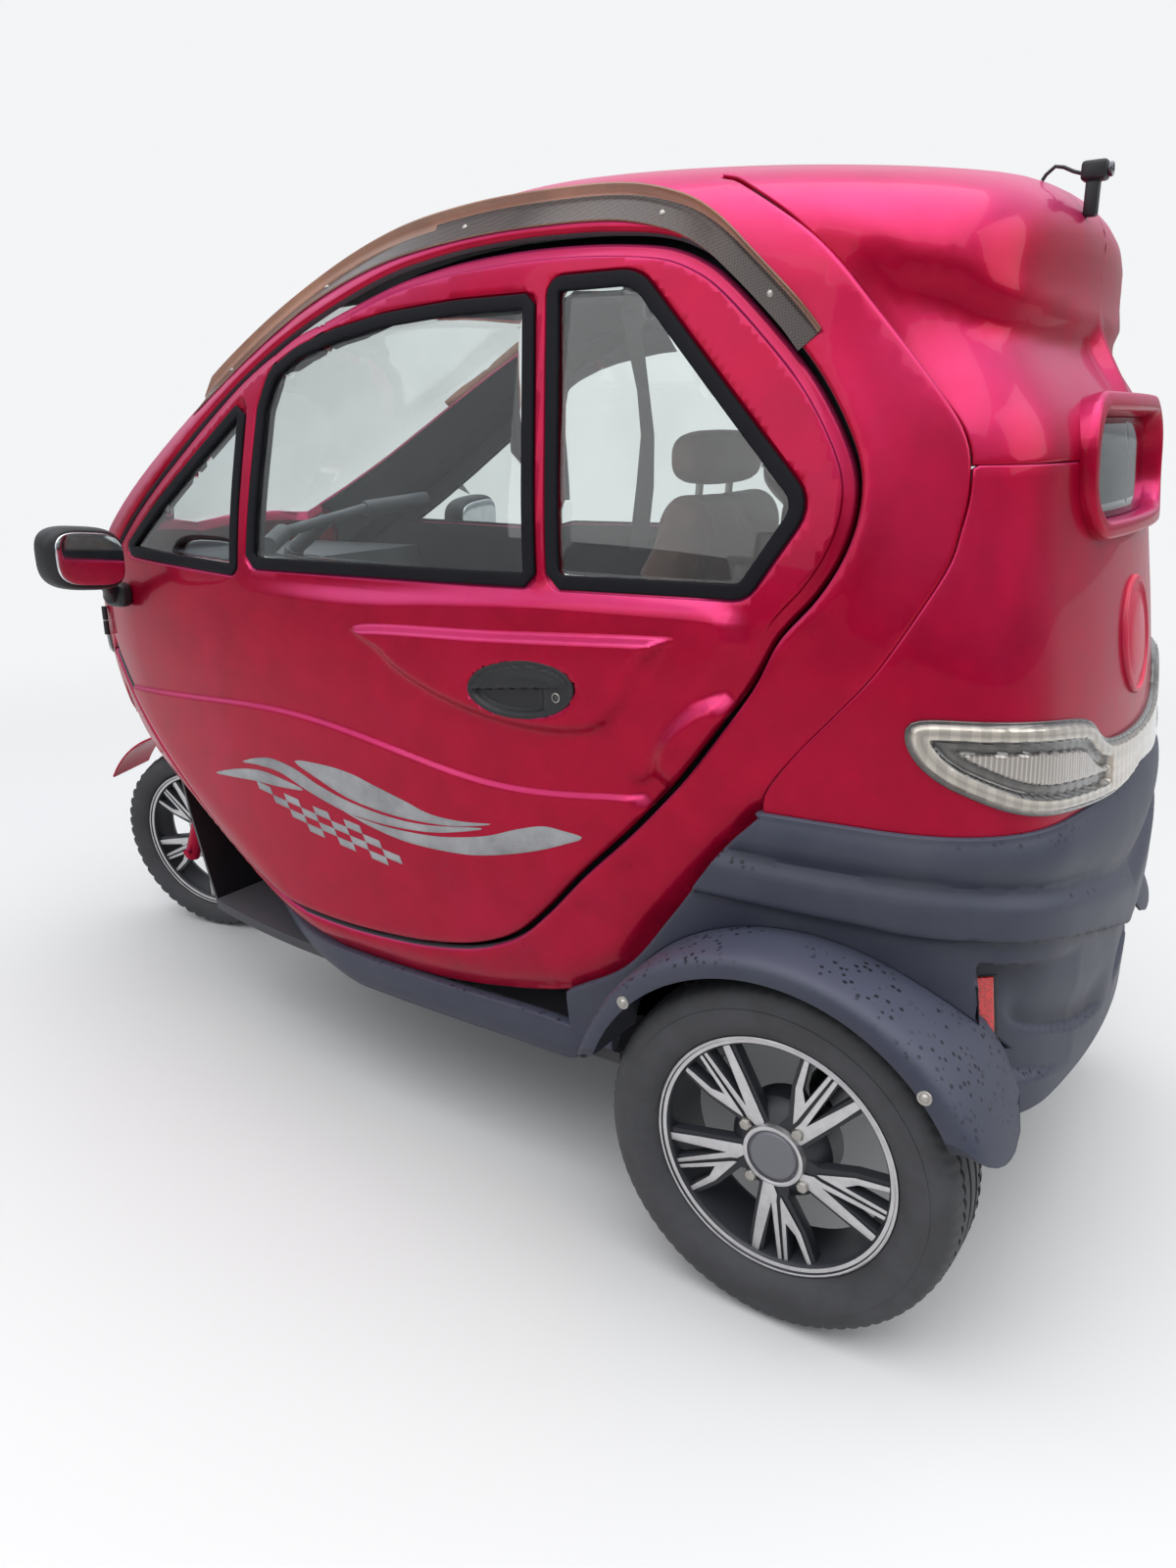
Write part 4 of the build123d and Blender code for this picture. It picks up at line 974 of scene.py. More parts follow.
def cabin_relief(skin):
    """The rolled flange round the door and the turn under its lower edge."""
    flat = skin[:, [0, 2]]
    low = np.array(LOWER_LINE)
    loop = np.vstack([low, [[1.9, .64], [1.9, 2.0], [-.6, 2.0], [-.6, .703]]])
    away = signed_distance(flat, loop)
    roll = 1 - np.clip(away / .045, 0, 1)
    under = .016 * roll ** 2.2
    gap = -signed_distance(flat, DOOR_LINE)
    ridge = .004 * np.exp(-((gap - .016) / .010) ** 2) * ease(skin[:, 2], 1.30, 1.15)
    ridge = ridge * ease(np.abs(skin[:, 1]), .2, .3)
    return ridge - under * ease(np.abs(skin[:, 1]), .15, .25)


def build_cabin(props):
    seam = seam_run(SEAM_HALF + .003)
    top_x, top_y, _ = seam[0]
    edge = screen_side(SCREEN_X)
    screen_top = on_top(edge[0][0] - .012, np.linspace(edge[0][1] - .004, 0.0, 20))
    nose_side = shot(NOSE_SEAM_X - .004, 0.0, np.linspace(1.00, .655, 30), (0, 1, 0))
    bm = centre_panel(
        BARREL_CHART,
        (on_top(np.linspace(screen_top[-1][0], top_x, 60), 0.0),
         on_top(top_x, np.linspace(0.0, top_y - .012, 22)), seam,
         on_side(rounded(LOWER_LINE, .014, closed=False)[1:-2]), nose_side[::-1], edge[::-1],
         screen_top),
        (props.body_cell, props.body_cell / .48), lip_steps(.006, .014), .018, cabin_relief,
        [BARREL_CHART[1](on_side(grown(DOOR_LINE, .010)))])
    make_object("cabin_panel", lined(bm), LINED_PAINT, "cabin_shell")


# The window in the tail and its raised surround, seen from behind (y, z)
SLOT_HALF = .206
SLOT_LOW, SLOT_HIGH = 1.046, 1.172
SLOT_R = .050
SURROUND_W = .024


def slot_run(grow, first, last):
    """Part of the rear slot's outline from height to height, from the top centre to the left."""
    half, mid = SLOT_HALF + grow, (SLOT_LOW + SLOT_HIGH) / 2
    tall, radius = (SLOT_HIGH - SLOT_LOW) / 2 + grow, SLOT_R + grow
    line = [(y, mid + tall) for y in np.linspace(0, half - radius, 16)]
    for up, angles in ((1, np.linspace(90, 0, 12)[1:]), (-1, np.linspace(0, -90, 12))):
        line += [(half - radius + radius * math.cos(a), mid + up * (tall - radius)
                  + radius * math.sin(a)) for a in np.radians(angles)]
    line += [(y, mid - tall) for y in np.linspace(half - radius, 0, 16)[1:]]
    kept = np.array([(y, z) for y, z in line if first >= z >= last])
    return on_rear(kept[:, 0], kept[:, 1])


SPOILER_LINE = ((.240, .333, 1.470), (.198, .333, 1.447), (.110, .368, 1.406),
    (-.011, .373, 1.365), (-.069, .364, 1.337), (-.138, .312, 1.304), (-.158, .278, 1.296),
    (-.176, .196, 1.292), (-.190, .100, 1.290), (-.190, .0, 1.290))


def spoiler_relief(skin):
    """The roof's tail overhangs the panel below its crease."""
    left = np.stack([skin[:, 0], np.abs(skin[:, 1]), skin[:, 2]], -1)
    line = TAIL_CHART[1](np.array(SPOILER_LINE))
    lower = np.vstack([line, [[-.6, 0.0], [-.6, 1.5], [line[0][0], 1.5]]])
    metres = signed_distance(TAIL_CHART[1](left), lower) * .38
    depth = .020 * ease(-skin[:, 0], -.17, .10)
    fade = ease(skin[:, 2], 1.16, 1.27) * .55 + .45
    return -depth * ease(metres, 0.0, .030) * fade * ease(skin[:, 2], 1.12, 1.20)


def build_tail_upper(props):
    seam = [p for p in seam_run(-SEAM_HALF - .003) if p[2] > TAIL_SEAM_Z + .004]
    top_x, top_y, _ = seam[0]
    level = TAIL_SEAM_Z + SEAM_HALF + .002
    slot = slot_run(SURROUND_W - .004, 9, level)
    bm = centre_panel(
        TAIL_CHART,
        (on_rear(0.0, np.linspace(slot[0][2], 1.40, 24)),
         on_top(np.linspace(-.172, top_x, 36), 0.0),
         on_top(top_x, np.linspace(0.0, top_y - .012, 22)), seam,
         around(level, np.linspace(tail_angle(seam[-1]), math.radians(46), 16)), slot[::-1]),
        [props.body_cell / .36] * 2, lip_steps(.003, .010), .030, spoiler_relief)
    make_object("tail_panel_upper", lined(bm), LINED_PAINT, "tail_shell_upper")


def build_tail_lower(props):
    seam = [p for p in seam_run(-SEAM_HALF - .003) if BUMPER_TOP_Z < p[2] < TAIL_SEAM_Z - .004]
    level = TAIL_SEAM_Z - SEAM_HALF - .002
    slot = slot_run(SURROUND_W - .004, level, 0)
    foot = around(BUMPER_TOP_Z - .004, np.linspace(tail_angle(seam[-1]), 0.0, 50))
    bm = centre_panel(
        DRUM_CHART,
        (around(level, np.linspace(tail_angle(slot[0]) + .02, tail_angle(seam[0]) - .01, 16)),
         seam, foot, on_rear(0.0, np.linspace(foot[-1][2], slot[-1][2], 24)), slot[::-1]),
        (props.body_cell / .40, props.body_cell), lip_steps(.003, .010), .030)
    make_object("tail_panel_lower", lined(bm), LINED_PAINT, "tail_shell_lower")


BAND_VALLEY = smooth_curve(((0, .578), (.05, .580), (.64, .625), (.857, .640), (1.046, .647),
    (1.242, .645), (1.6, .650), (2.2, .655)))
BAND_RIDGE = smooth_curve(((0, .528), (.49, .579), (.85, .612), (1.045, .622), (1.24, .624),
    (1.6, .626), (2.2, .630)))
BAND_FOOT = smooth_curve(((0, .480), (.47, .539), (.842, .577), (1.035, .583), (1.24, .584),
    (1.6, .585), (2.2, .588)))
SCOOP_EDGE = smooth_curve(((0, .350), (.057, .354), (.420, .382), (.653, .416), (.755, .443),
    (.80, .470), (2.2, .60)))


LAMP_R = .42


def cut_back(skin):
    """Where skin points lie: angle and height, and their places by the cut-back corner."""
    angle, z = tail_angle(skin), skin[:, 2]
    back = (.846 + (z - .377) * .27 - angle) * LAMP_R
    return angle, z, back, .543 - .16 * back, z - SCOOP_EDGE(angle)


def bumper_recess(skin):
    """Cut-back corner that holds the reflector, sharp at its outer side."""
    angle, z, back, top, over = cut_back(skin)
    foot = .375 - .28 * back
    share = ease(back, 0.0, .0045) * np.clip(1 - back / .175, 0, 1)
    recess = .025 * share * ease(z, foot, foot + .012) * (1 - ease(z, top - .010, top))
    scoop = .012 * ease(over, 0.0, .010) * (1 - ease(over, .018, .085)) * ease(angle, .80, .70)
    return -recess - scoop * ease(angle, .02, .25)


def bumper_painted_shade(skin):
    """Share of painted shade: under the upper edge of each cut-back corner, and below the band."""
    angle, z, back, top, over = cut_back(skin)
    inside = ease(back, .001, .006) * np.clip(1 - back / .150, 0, 1)
    shaded = ease(z, top - .075, top - .008) * (1 - ease(z, top - .004, top + .002))
    foot = BAND_FOOT(angle)
    band = ease(z, foot - .022, foot - .006) * (1 - ease(z, foot - .002, foot + .003))
    scoop = ease(over, .002, .010) * (1 - ease(over, .014, .045)) * ease(angle, .80, .70)
    return np.clip(.85 * inside * shaded + .55 * band + .5 * scoop * ease(angle, .02, .25), 0, 1)


def bumper_relief(skin):
    """A rounded band over a ledge, and a flat lower part with the cut-back corners."""
    angle, z = tail_angle(skin), skin[:, 2]
    valley, ridge, foot = BAND_VALLEY(angle), BAND_RIDGE(angle), BAND_FOOT(angle)
    share = np.clip((z - valley) / (.708 - valley), 0, 1)
    height = .001 + .0155 * np.sin(np.pi * share) ** .8
    height = np.where(z < valley, .001 + .0155 * ease(z, valley, ridge), height)
    height = np.where(z < ridge, .0165 - .001 * (ridge - z) / .04, height)
    height = np.where(z < foot, .0155 * ease(z, foot - .0090, foot), height)
    return height * ease(angle, 2.05, 1.60) + bumper_recess(skin)


ARCH_R = .304
BUMPER_FOOT_Z = .312
ARCH_END_Y = .326


def build_bumper(props):
    first = math.asin((.272 - TYRE_R) / ARCH_R)
    turns = np.linspace(first, math.radians(150), 54)
    arch = shot(ARCH_R * np.cos(turns), 0.0, TYRE_R + ARCH_R * np.sin(turns), (0, 1, 0))
    bm = centre_panel(
        DRUM_CHART,
        (around(BUMPER_TOP_Z - .001, np.linspace(0.0, math.atan2(.455, .053), 56)),
         on_side(rounded(LOWER_LINE[:5], .012, closed=False) - .0035),
         shot(.372, 0.0, np.linspace(.34, .272, 7), (0, 1, 0)),
         shot(np.linspace(.36, ARCH_R * math.cos(first), 5), 0.0, .272, (0, 1, 0)), arch,
         on_rear(ARCH_END_Y, np.linspace(arch[-1][2] - .004, BUMPER_FOOT_Z + .002, 9)),
         on_rear(np.linspace(ARCH_END_Y - .004, 0.0, 28), BUMPER_FOOT_Z),
         on_rear(0.0, np.linspace(BUMPER_FOOT_Z, BUMPER_TOP_Z - .001, 40))),
        (props.body_cell * 1.1, props.body_cell * .42), lip_steps(.004, .012), .028,
        bumper_relief)
    # The bumper keeps its share of painted shade for its material to read.
    store(bm, "painted_shade_share", bumper_painted_shade(places_in(bm.verts)))
    make_object("rear_bumper_skin", bm, "grey_plastic", "rear_bumper")


NOSE_FOOT_Z = .598


def build_nose(props):
    x0 = NOSE_SEAM_X + .004
    bm = centre_panel(
        NOSE_CHART,
        (on_front(0.0, np.linspace(NOSE_FOOT_Z, .80, 22)),
         on_top(np.linspace(1.80, 1.665, 16), 0.0),
         on_top(np.linspace(1.665, 1.60, 16), np.linspace(0, SCREEN_FOOT_Y, 16)),
         screen_side(np.linspace(1.585, x0, 5)),
         shot(x0, 0.0, np.linspace(1.00, .650, 30), (0, 1, 0)),
         on_side(((1.575, .625), (1.60, .600))),
         on_front(np.linspace(.262, 0.0, 22), NOSE_FOOT_Z)),
        [props.body_cell / .36] * 2, lip_steps(.003, .012), .028)
    make_object("nose_panel", bm, "paint", "nose_shell")


# Windows

def window_drop(skin):
    """How far the window frames stand behind the door's raised field."""
    return -.013 * ease(skin[:, 0], 1.02, .70)


def build_windows(props):
    """Black rubber seals and clear panes in the doors."""
    for side, name in SIDES:
        seals, panes = [], []
        for line in WINDOW_LINES:
            seals.append((0, body_panel(
                SIDE_CHART, [grown(line, -.001), grown(line, -.0135)], (.03, .03),
                [(.0016, .0004), (.0030, .0018), (.0034, .0050)], .012,
                lambda skin: window_drop(skin) + .0022)))
            panes.append((0, body_panel(
                SIDE_CHART, [grown(line, -.010)], (.03, .03), [(.0006, .0006)], .004,
                lambda skin: window_drop(skin) - .0045)))
        make_object(f"window_seals_{name}", flip_side(collected(*seals), side), "seal",
                    body=f"door_{name}_body")
        make_object(f"window_panes_{name}", flip_side(collected(*panes), side), "glass",
                    f"door_glass_{name}", f"door_{name}_body")


def build_opening_seals(props):
    """Rubber lips behind the gaps round the doors."""
    seals = both_sides(lambda: body_panel(
        SIDE_CHART, [grown(DOOR_LINE, .020), grown(DOOR_LINE, -.016)], (.03, .03),
        [(.0010, .0006), (.0014, .0020)], .004, -.037))
    make_object("door_opening_seals", seals, "seal")


PANE_LIP = [(.0010, .0008)]
SURROUND_PROUD = .016
SURROUND_EDGE = [(.0022, .0006), (.0042, .0024), (.0056, .0055), (.0064, .0100), (.0080, .0300)]


def build_screens(props):
    """Windscreen and rear window panes, and the raised surround of the rear one."""
    edge = screen_side(SCREEN_X, .047)
    top_x = edge[0][0] - .008
    screen = centre_panel(
        BARREL_CHART,
        (on_top(np.linspace(1.668, top_x, 50), 0.0),
         on_top(top_x, np.linspace(0.0, edge[0][1] - .004, 20)), edge,
         screen_side(np.linspace(1.555, 1.592, 4), .047),
         on_top(np.linspace(1.602, 1.668, 14), np.linspace(SCREEN_FOOT_Y, 0.0, 14))),
        (.03, .05), PANE_LIP, .005, -.004)
    make_object("windscreen_pane", screen, "glass", "windscreen")
    slot = slot_run(-.004, 9, 0)
    pane = centre_panel(
        DRUM_CHART, (slot, on_rear(0.0, np.linspace(slot[-1][2], slot[0][2], 12))), (.06, .03),
        PANE_LIP, .005, -.008)
    make_object("rear_window_pane", pane, "rear_glass", "rear_window")
    rim = centre_panel(
        DRUM_CHART, (slot_run(SURROUND_W - .008, 9, 0), slot_run(.006, 9, 0)[::-1]), (.03, .012),
        SURROUND_EDGE, .016, SURROUND_PROUD)
    make_object("rear_window_rim", rim, "paint", "rear_window_surround")


# Rubber, rims and mudguards

def spun(profile, at, steps):
    """Spins a closed section of (y, radius) about the wheel's axis through a place."""
    bm = bmesh.new()
    verts = [bm.verts.new((at[0] + r, at[1] + y, at[2])) for y, r in profile]
    edges = [bm.edges.new(pair) for pair in zip(verts, verts[1:] + verts[:1])]
    bmesh.ops.spin(bm, geom=verts + edges, cent=at, axis=(0, -1, 0), angle=2 * math.pi,
                   steps=steps, use_merge=True, use_duplicate=False)
    bmesh.ops.remove_doubles(bm, verts=bm.verts[:], dist=1e-6)
    bmesh.ops.recalc_face_normals(bm, faces=bm.faces[:])
    return bm


def tyre_section(radius, half, rim_r, grooves):
    """Section of a road tyre as (y, radius), outside and inside."""
    line = [(half - into, rim_r + out) for into, out in (
        (.030, -.002), (.018, .001), (.012, .006), (.006, .014), (.0010, .026), (0, .036),
        (.0006, .044), (.0016, .0445), (.0018, .047))]
    line += [(half - into, radius - down) for into, down in (
        (.0036, .020), (.0075, .0105), (.013, .0060), (.020, .0035))]
    for at in grooves:
        crown = radius - .0035 * (at / half) ** 2
        line += [(at + .0036, crown), (at + .0030, radius - .0062), (at - .0030, radius - .0062),
                 (at - .0036, crown)]
    return (line + [(-y, r) for y, r in line[::-1]]
            + [(.030 - half, rim_r - .010), (half - .030, rim_r - .010)])


def tread_cuts(bm, axis_at, radius, half, count, depth, width):
    """Presses slanting sipes into the tread's shoulders."""
    for v in bm.verts:
        y = v.co.y - axis_at[1]
        dx, dz = v.co.x - axis_at[0], v.co.z - axis_at[2]
        r = math.hypot(dx, dz)
        if r < radius - .012 or abs(y) < half * .28:
            continue
        turn = math.atan2(dz, dx) + y * 1.4
        phase = (turn * count / (2 * math.pi)) % 1.0
        if phase < width:
            scale = (r - depth) / r
            v.co.x, v.co.z = axis_at[0] + dx * scale, axis_at[2] + dz * scale


def steer_matrix():
    """Turn of the front end to its rest angle, about the raked steering axis."""
    rake = math.radians(24.0)
    foot = Vector((1.762, 0, 0))
    axis = Vector((-math.sin(rake), 0, math.cos(rake)))
    turn = Matrix.Rotation(math.radians(13.0), 4, axis)
    return Matrix.Translation(foot) @ turn @ Matrix.Translation(-foot)


FRONT_AXLE = (1.70, 0.0, .22725)
REAR_AXLE = (0.0, WHEEL_Y, TYRE_R)
WHEELS = (("rear", "_left", REAR_AXLE, "rear_wheel_left"),
          ("rear", "_right", (0, -WHEEL_Y, TYRE_R), "rear_wheel_right"),
          ("front", "", FRONT_AXLE, "front_wheel"))
FRONT_TYRE_R = .226
RIM_R = .171


def steered(bm, body):
    """Turns the front wheel's pieces to the rest angle."""
    return placed(bm, steer_matrix()) if body == "front_wheel" else bm


def build_tyres(props):
    for axle, side, at, body in WHEELS:
        radius, half, grooves, cuts, depth = (TYRE_R, .0675, (.030, .011), 80, .0022) if (
            axle == "rear") else (FRONT_TYRE_R, .052, (.018,), 48, .005)
        bm = spun(tyre_section(radius, half, RIM_R, grooves), at, 240)
        tread_cuts(bm, at, radius, half, cuts, depth, .34)
        make_object(f"{axle}_tyre{side}_rubber", steered(bm, body), "tyre", f"{axle}_tyre{side}",
                    body, 35.0)


# The two machined blades of a spoke group, as (radius, angle) corners from its middle
SPOKE_BLADES = (((.047, 24), (.110, 18.6), (.162, 16.7), (.162, 12.9), (.074, 7.4), (.162, 2.2),
    (.162, .1), (.068, 1.0), (.058, -.5), (.036, 11)), ((.066, -3.2), (.162, -.9), (.162, -2.9),
    (.100, -5.6), (.116, -11.1), (.162, -13.5), (.162, -15.9), (.112, -15.9), (.060, -5.0)))
# Corners of the dark web that carries the blades
SPOKE_WEB = ((.040, 34), (.080, 24), (.160, 19), (.160, 11), (.076, 7.0), (.160, 3.2),
    (.160, -3.4), (.098, -6.2), (.113, -10.5), (.160, -12.6), (.160, -18), (.112, -19),
    (.062, -14), (.040, -30))
GROUP_AT = -97.0


def build_rims(props):
    for axle, side, at, body in WHEELS:
        half = .050 if axle == "rear" else .038
        bm = rim_barrel(half)
        for group in range(5):
            middle = GROUP_AT + 72 * group
            for corners, back, depth in (*((blade, .008, .010) for blade in SPOKE_BLADES),
                                         (SPOKE_WEB, .0105, .016)):
                take_in(bm, spoke_bar([(r, a + middle) for r, a in corners], half - back, depth))
            if group < 4:
                turn = Matrix.Rotation(math.radians(-36.8 - 90 * group), 4, "Y")
                take_in(bm, placed(spoke_nut(half - .016), turn))
        take_in(bm, hub_cap(half))
        for face in bm.faces:
            middle = face.calc_center_median()
            r = math.hypot(middle.x, middle.z)
            lip = r > .158 and middle.y > half - .007
            spoke = .036 < r < .164 and half - .0085 < middle.y < half - .0075
            if face.normal.y > .9 and (lip or spoke):
                face.material_index = 1
        flip_side(bm, 1 if at[1] >= 0 else -1)
        bmesh.ops.translate(bm, verts=bm.verts[:], vec=at)
        make_object(f"{axle}_rim{side}_alloy", steered(bm, body), "rim_dark alloy nut cap alloy",
                    f"{axle}_rim{side}", body, 32.0)


def rim_barrel(half):
    """Barrel, flanges and the dark dish behind the spokes."""
    line = [(half, .1705), (half + .0008, .1685), (half, .1665), (half - .003, .1650),
            (half - .004, .1600), (half - .0065, .1575), (half - .010, .1560), (half - .024, .1540),
            (half - .045, .1500), (-half + .020, .1480), (-half + .004, .1600), (-half, .1660),
            (-half, .1710), (-half + .004, .1710), (-half + .010, .1540), (half - .012, .1560),
            (half - .004, .1700)]
    return spun(line, (0, 0, 0), 96)


def spoke_bar(corners, face_y, depth):
    """A flat-faced bar with chamfered edges, from (radius, angle) corners."""
    bm = bmesh.new()
    face = bm.faces.new([bm.verts.new((r * math.cos(math.radians(a)), face_y,
                                       r * math.sin(math.radians(a)))) for r, a in corners])
    bm.normal_update()
    if face.normal.y < 0:
        bmesh.ops.reverse_faces(bm, faces=[face])
    low = bm.verts[:]
    bmesh.ops.extrude_face_region(bm, geom=[face])
    bmesh.ops.translate(bm, verts=low, vec=(0, -depth, 0))
    bmesh.ops.recalc_face_normals(bm, faces=bm.faces[:])
    edges = list({e for f in bm.faces if f.normal.y > .9 for e in f.edges})
    bmesh.ops.bevel(bm, geom=edges, offset=.0011, segments=2, profile=.5, affect="EDGES",
                    material=-1)
    return bm


def spoke_nut(face_y):
    """Acorn wheel nut, standing at the hub."""
    bm = bmesh.new()
    bmesh.ops.create_cone(bm, cap_ends=True, segments=6, radius1=.0100, radius2=.0095, depth=.016)
    top = max(bm.faces, key=lambda f: f.calc_center_median().z)
    bmesh.ops.inset_individual(bm, faces=[top], thickness=.002, depth=.0)
    bmesh.ops.translate(bm, verts=top.verts[:], vec=(0, 0, .004))
    bmesh.ops.bevel(bm, geom=bm.edges[:], offset=.0009, segments=2, profile=.5, affect="EDGES",
                    material=-1)
    placed(bm, Matrix.Translation((.053, face_y, 0)) @ Matrix.Rotation(-math.pi / 2, 4, "X"))
    for f in bm.faces:
        f.material_index = 2
    return bm


def hub_cap(half):
    """Hub disc with the plain round cap in its middle."""
    disc = [(half - .0035, .0001), (half - .0035, .026), (half - .0045, .0315),
            (half - .0075, .0340), (half - .0085, .0345), (half - .0085, .0360),
            (half - .0040, .0370), (half - .0030, .0390), (half - .0040, .0425),
            (half - .0100, .0450)]
    hub = disc + [(half - .020, .062), (half - .034, .072), (-.02, .072), (-.02, .0001)]
    bm = spun(hub, (0, 0, 0), 64)
    for f in bm.faces:
        middle = f.calc_center_median()
        r = math.hypot(middle.x, middle.z)
        if middle.y > half - .0102:
            f.material_index = 3 if r < .0362 else (4 if r < .0440 else 0)
    return bm


MUDGUARD_SECTION = ((.350, .2960), (.350, .3000), (.365, .3010), (.400, .3012), (.430, .3012),
    (.450, .3010), (.470, .3005), (.490, .2992), (.503, .2978), (.513, .2958), (.520, .2930),
    (.5252, .2890), (.5288, .2830), (.5300, .2760), (.5302, .2690), (.5290, .2672), (.5270, .2680),
    (.5266, .2760), (.5252, .2820), (.5215, .2872), (.515, .2912), (.503, .2940), (.490, .2954),
    (.470, .2966), (.450, .2970), (.430, .2972), (.400, .2972), (.365, .2970))


FIRST_TURN, LAST_TURN = math.radians(9), math.radians(163)
ROUND_Y, ROUND_WIDTH = .440, .0902


def wheel_cover():
    """Left rear mudguard with a turned-down outer lip, rounded at its ends."""
    bm = bmesh.new()
    section = [bm.verts.new((r * math.cos(FIRST_TURN), y, TYRE_R + r * math.sin(FIRST_TURN)))
               for y, r in MUDGUARD_SECTION]
    ring = [bm.edges.new(pair) for pair in zip(section, section[1:] + section[:1])]
    bmesh.ops.spin(bm, geom=section + ring, cent=(0, 0, TYRE_R), axis=(0, -1, 0),
                   angle=LAST_TURN - FIRST_TURN, steps=96, use_merge=False)
    bmesh.ops.holes_fill(bm, edges=[e for e in bm.edges if e.is_boundary], sides=60)
    middle, half = (FIRST_TURN + LAST_TURN) / 2, (LAST_TURN - FIRST_TURN) / 2
    for v in bm.verts:
        share = (math.atan2(v.co.z - TYRE_R, v.co.x) - middle) / half
        over = max(0.0, v.co.y - ROUND_Y) / ROUND_WIDTH
        inner = max(0.0, ROUND_Y - v.co.y) / ROUND_WIDTH if share > .5 else 0.0
        cut = .070 * (1 - math.sqrt(max(0.0, 1 - over * over)))
        cut += .100 * (1 - math.sqrt(max(0.0, 1 - inner * inner)))
        turn = middle + share * (half - cut / .30)
        r = math.hypot(v.co.x, v.co.z - TYRE_R)
        v.co.x, v.co.z = r * math.cos(turn), TYRE_R + r * math.sin(turn)
    bmesh.ops.recalc_face_normals(bm, faces=bm.faces[:])
    return bm


def build_mudguards(props):
    """Rear wheel covers, each with the flat inner wall of its wheel house."""
    guards = both_sides(wheel_cover)
    for y in (.350, -.350):
        wall = bmesh.new()
        wall.faces.new([wall.verts.new((.296 * math.cos(a), y, TYRE_R + .296 * math.sin(a)))
                        for a in np.linspace(math.radians(12), math.radians(142), 40)])
        bmesh.ops.solidify(wall, geom=wall.faces[:], thickness=.004)
        bmesh.ops.recalc_face_normals(wall, faces=wall.faces[:])
        take_in(guards, wall)
    make_object("rear_wheel_covers", guards, "grey_plastic", "rear_mudguards")


# Shaping of small pieces

def swept(rings):
    """Form through rings of equally many points."""
    bm = bmesh.new()
    loops = []
    for ring in rings:
        verts = [bm.verts.new(p) for p in ring]
        loops.append([bm.edges.new(pair) for pair in zip(verts, verts[1:] + verts[:1])])
    for near, far in zip(loops, loops[1:]):
        bmesh.ops.bridge_loops(bm, edges=near + far)
    bmesh.ops.holes_fill(bm, edges=[e for e in bm.edges if e.is_boundary], sides=0)
    bmesh.ops.recalc_face_normals(bm, faces=bm.faces[:])
    return bm


def tube(path, radius, sides=16):
    """Round bar along points, with one radius or one for each point."""
    path = [Vector(p) for p in path]
    radii = radius if isinstance(radius, (list, tuple)) else [radius] * len(path)
    rings, across = [], None
    for i, p in enumerate(path):
        run = (path[min(i + 1, len(path) - 1)] - path[max(i - 1, 0)]).normalized()
        across = across or run.orthogonal()
        across = (across - run * across.dot(run)).normalized()
        up = run.cross(across)
        rings.append([p + (across * math.cos(a) + up * math.sin(a)) * radii[i]
                      for a in np.linspace(0, 2 * math.pi, sides, endpoint=False)])
    return swept(rings)


def pebble(size, centre, power=.6, segments=(48, 28)):
    """Rounded block: a sphere squared off by power."""
    bm = bmesh.new()
    bmesh.ops.create_uvsphere(bm, u_segments=segments[0], v_segments=segments[1], radius=1.0)
    for v in bm.verts:
        v.co = [math.copysign(abs(c) ** power, c) * s / 2 for c, s in zip(v.co, size)]
    bmesh.ops.translate(bm, verts=bm.verts[:], vec=centre)
    return bm


def block(low, high, round_by, segments=3):
    """Box with rounded edges."""
    bm = bmesh.new()
    bmesh.ops.create_cube(bm, size=1.0)
    low, high = Vector(low), Vector(high)
    bmesh.ops.scale(bm, verts=bm.verts[:], vec=high - low)
    bmesh.ops.translate(bm, verts=bm.verts[:], vec=(low + high) / 2)
    bmesh.ops.bevel(bm, geom=bm.edges[:], offset=round_by, segments=segments, profile=.5,
                    affect="EDGES", material=-1)
    return bm


def screw_head(at, normal, radius=.004, height=.0022):
    """Domed screw head with a round recess, standing on a surface."""
    bm = spun([(0.0, .0002), (height, .0002), (height, radius * .35), (height * .75, radius * .75),
               (0.0, radius)], (0, 0, 0), 20)
    turn = Vector((0, 1, 0)).rotation_difference(Vector(normal)).to_matrix().to_4x4()
    return placed(bm, Matrix.Translation(Vector(at)) @ turn)


# Lamps, reflectors and tail fittings

LAMP_EDGE = rounded(((0, .769), (.022, .769), (.100, .772), (.162, .779), (.193, .790),
    (.224, .812), (.262, .823), (.330, .834), (.398, .841), (.446, .843), (.463, .835),
    (.461, .812), (.444, .786), (.412, .762), (.348, .732), (.268, .717), (.170, .707),
    (.084, .706), (0, .716)), .008, closed=False)
LAMP_SHAPE = np.vstack([LAMP_EDGE, [(-.1, .716), (-.1, .769)]])
LAMP_INNER_END = .170


def lamp_place(points):
    """Distance round the tail and height, for points on its skin."""
    return np.stack([tail_angle(points) * LAMP_R, points[:, 2]], -1)


def lamp_relief(skin):
    """Light guide round a dark channel, under a rim."""
    place = lamp_place(skin)
    inset = signed_distance(place, LAMP_SHAPE)
    inner = ease(place[:, 0], LAMP_INNER_END - .006, LAMP_INNER_END + .006)
    guide = .0055 * ease(inset, .002, .007)
    channel = ease(inset, .019, .023) * inner
    strip = ease(inset, .0335, .0355) * inner
    return .0060 + guide - .0090 * channel + .0050 * strip


def build_tail_lamps(props):
    centre = [(0, z) for z in np.linspace(.716, .769, 10)]
    line = np.vstack([LAMP_EDGE, centre[1:-1]])
    bm = mirror_over(body_panel(DRUM_CHART, [line / (LAMP_R, 1)], (.0075, .0028),
                                lip_steps(.0022, .006), .018, lamp_relief, centred=True))
    places = lamp_place(places_in(bm.verts))
    store(bm, "inset", signed_distance(places, LAMP_SHAPE))
    store(bm, "along", places[:, 0])
    make_object("tail_lamp_lenses", bm, "tail_lamp", "tail_lamps")


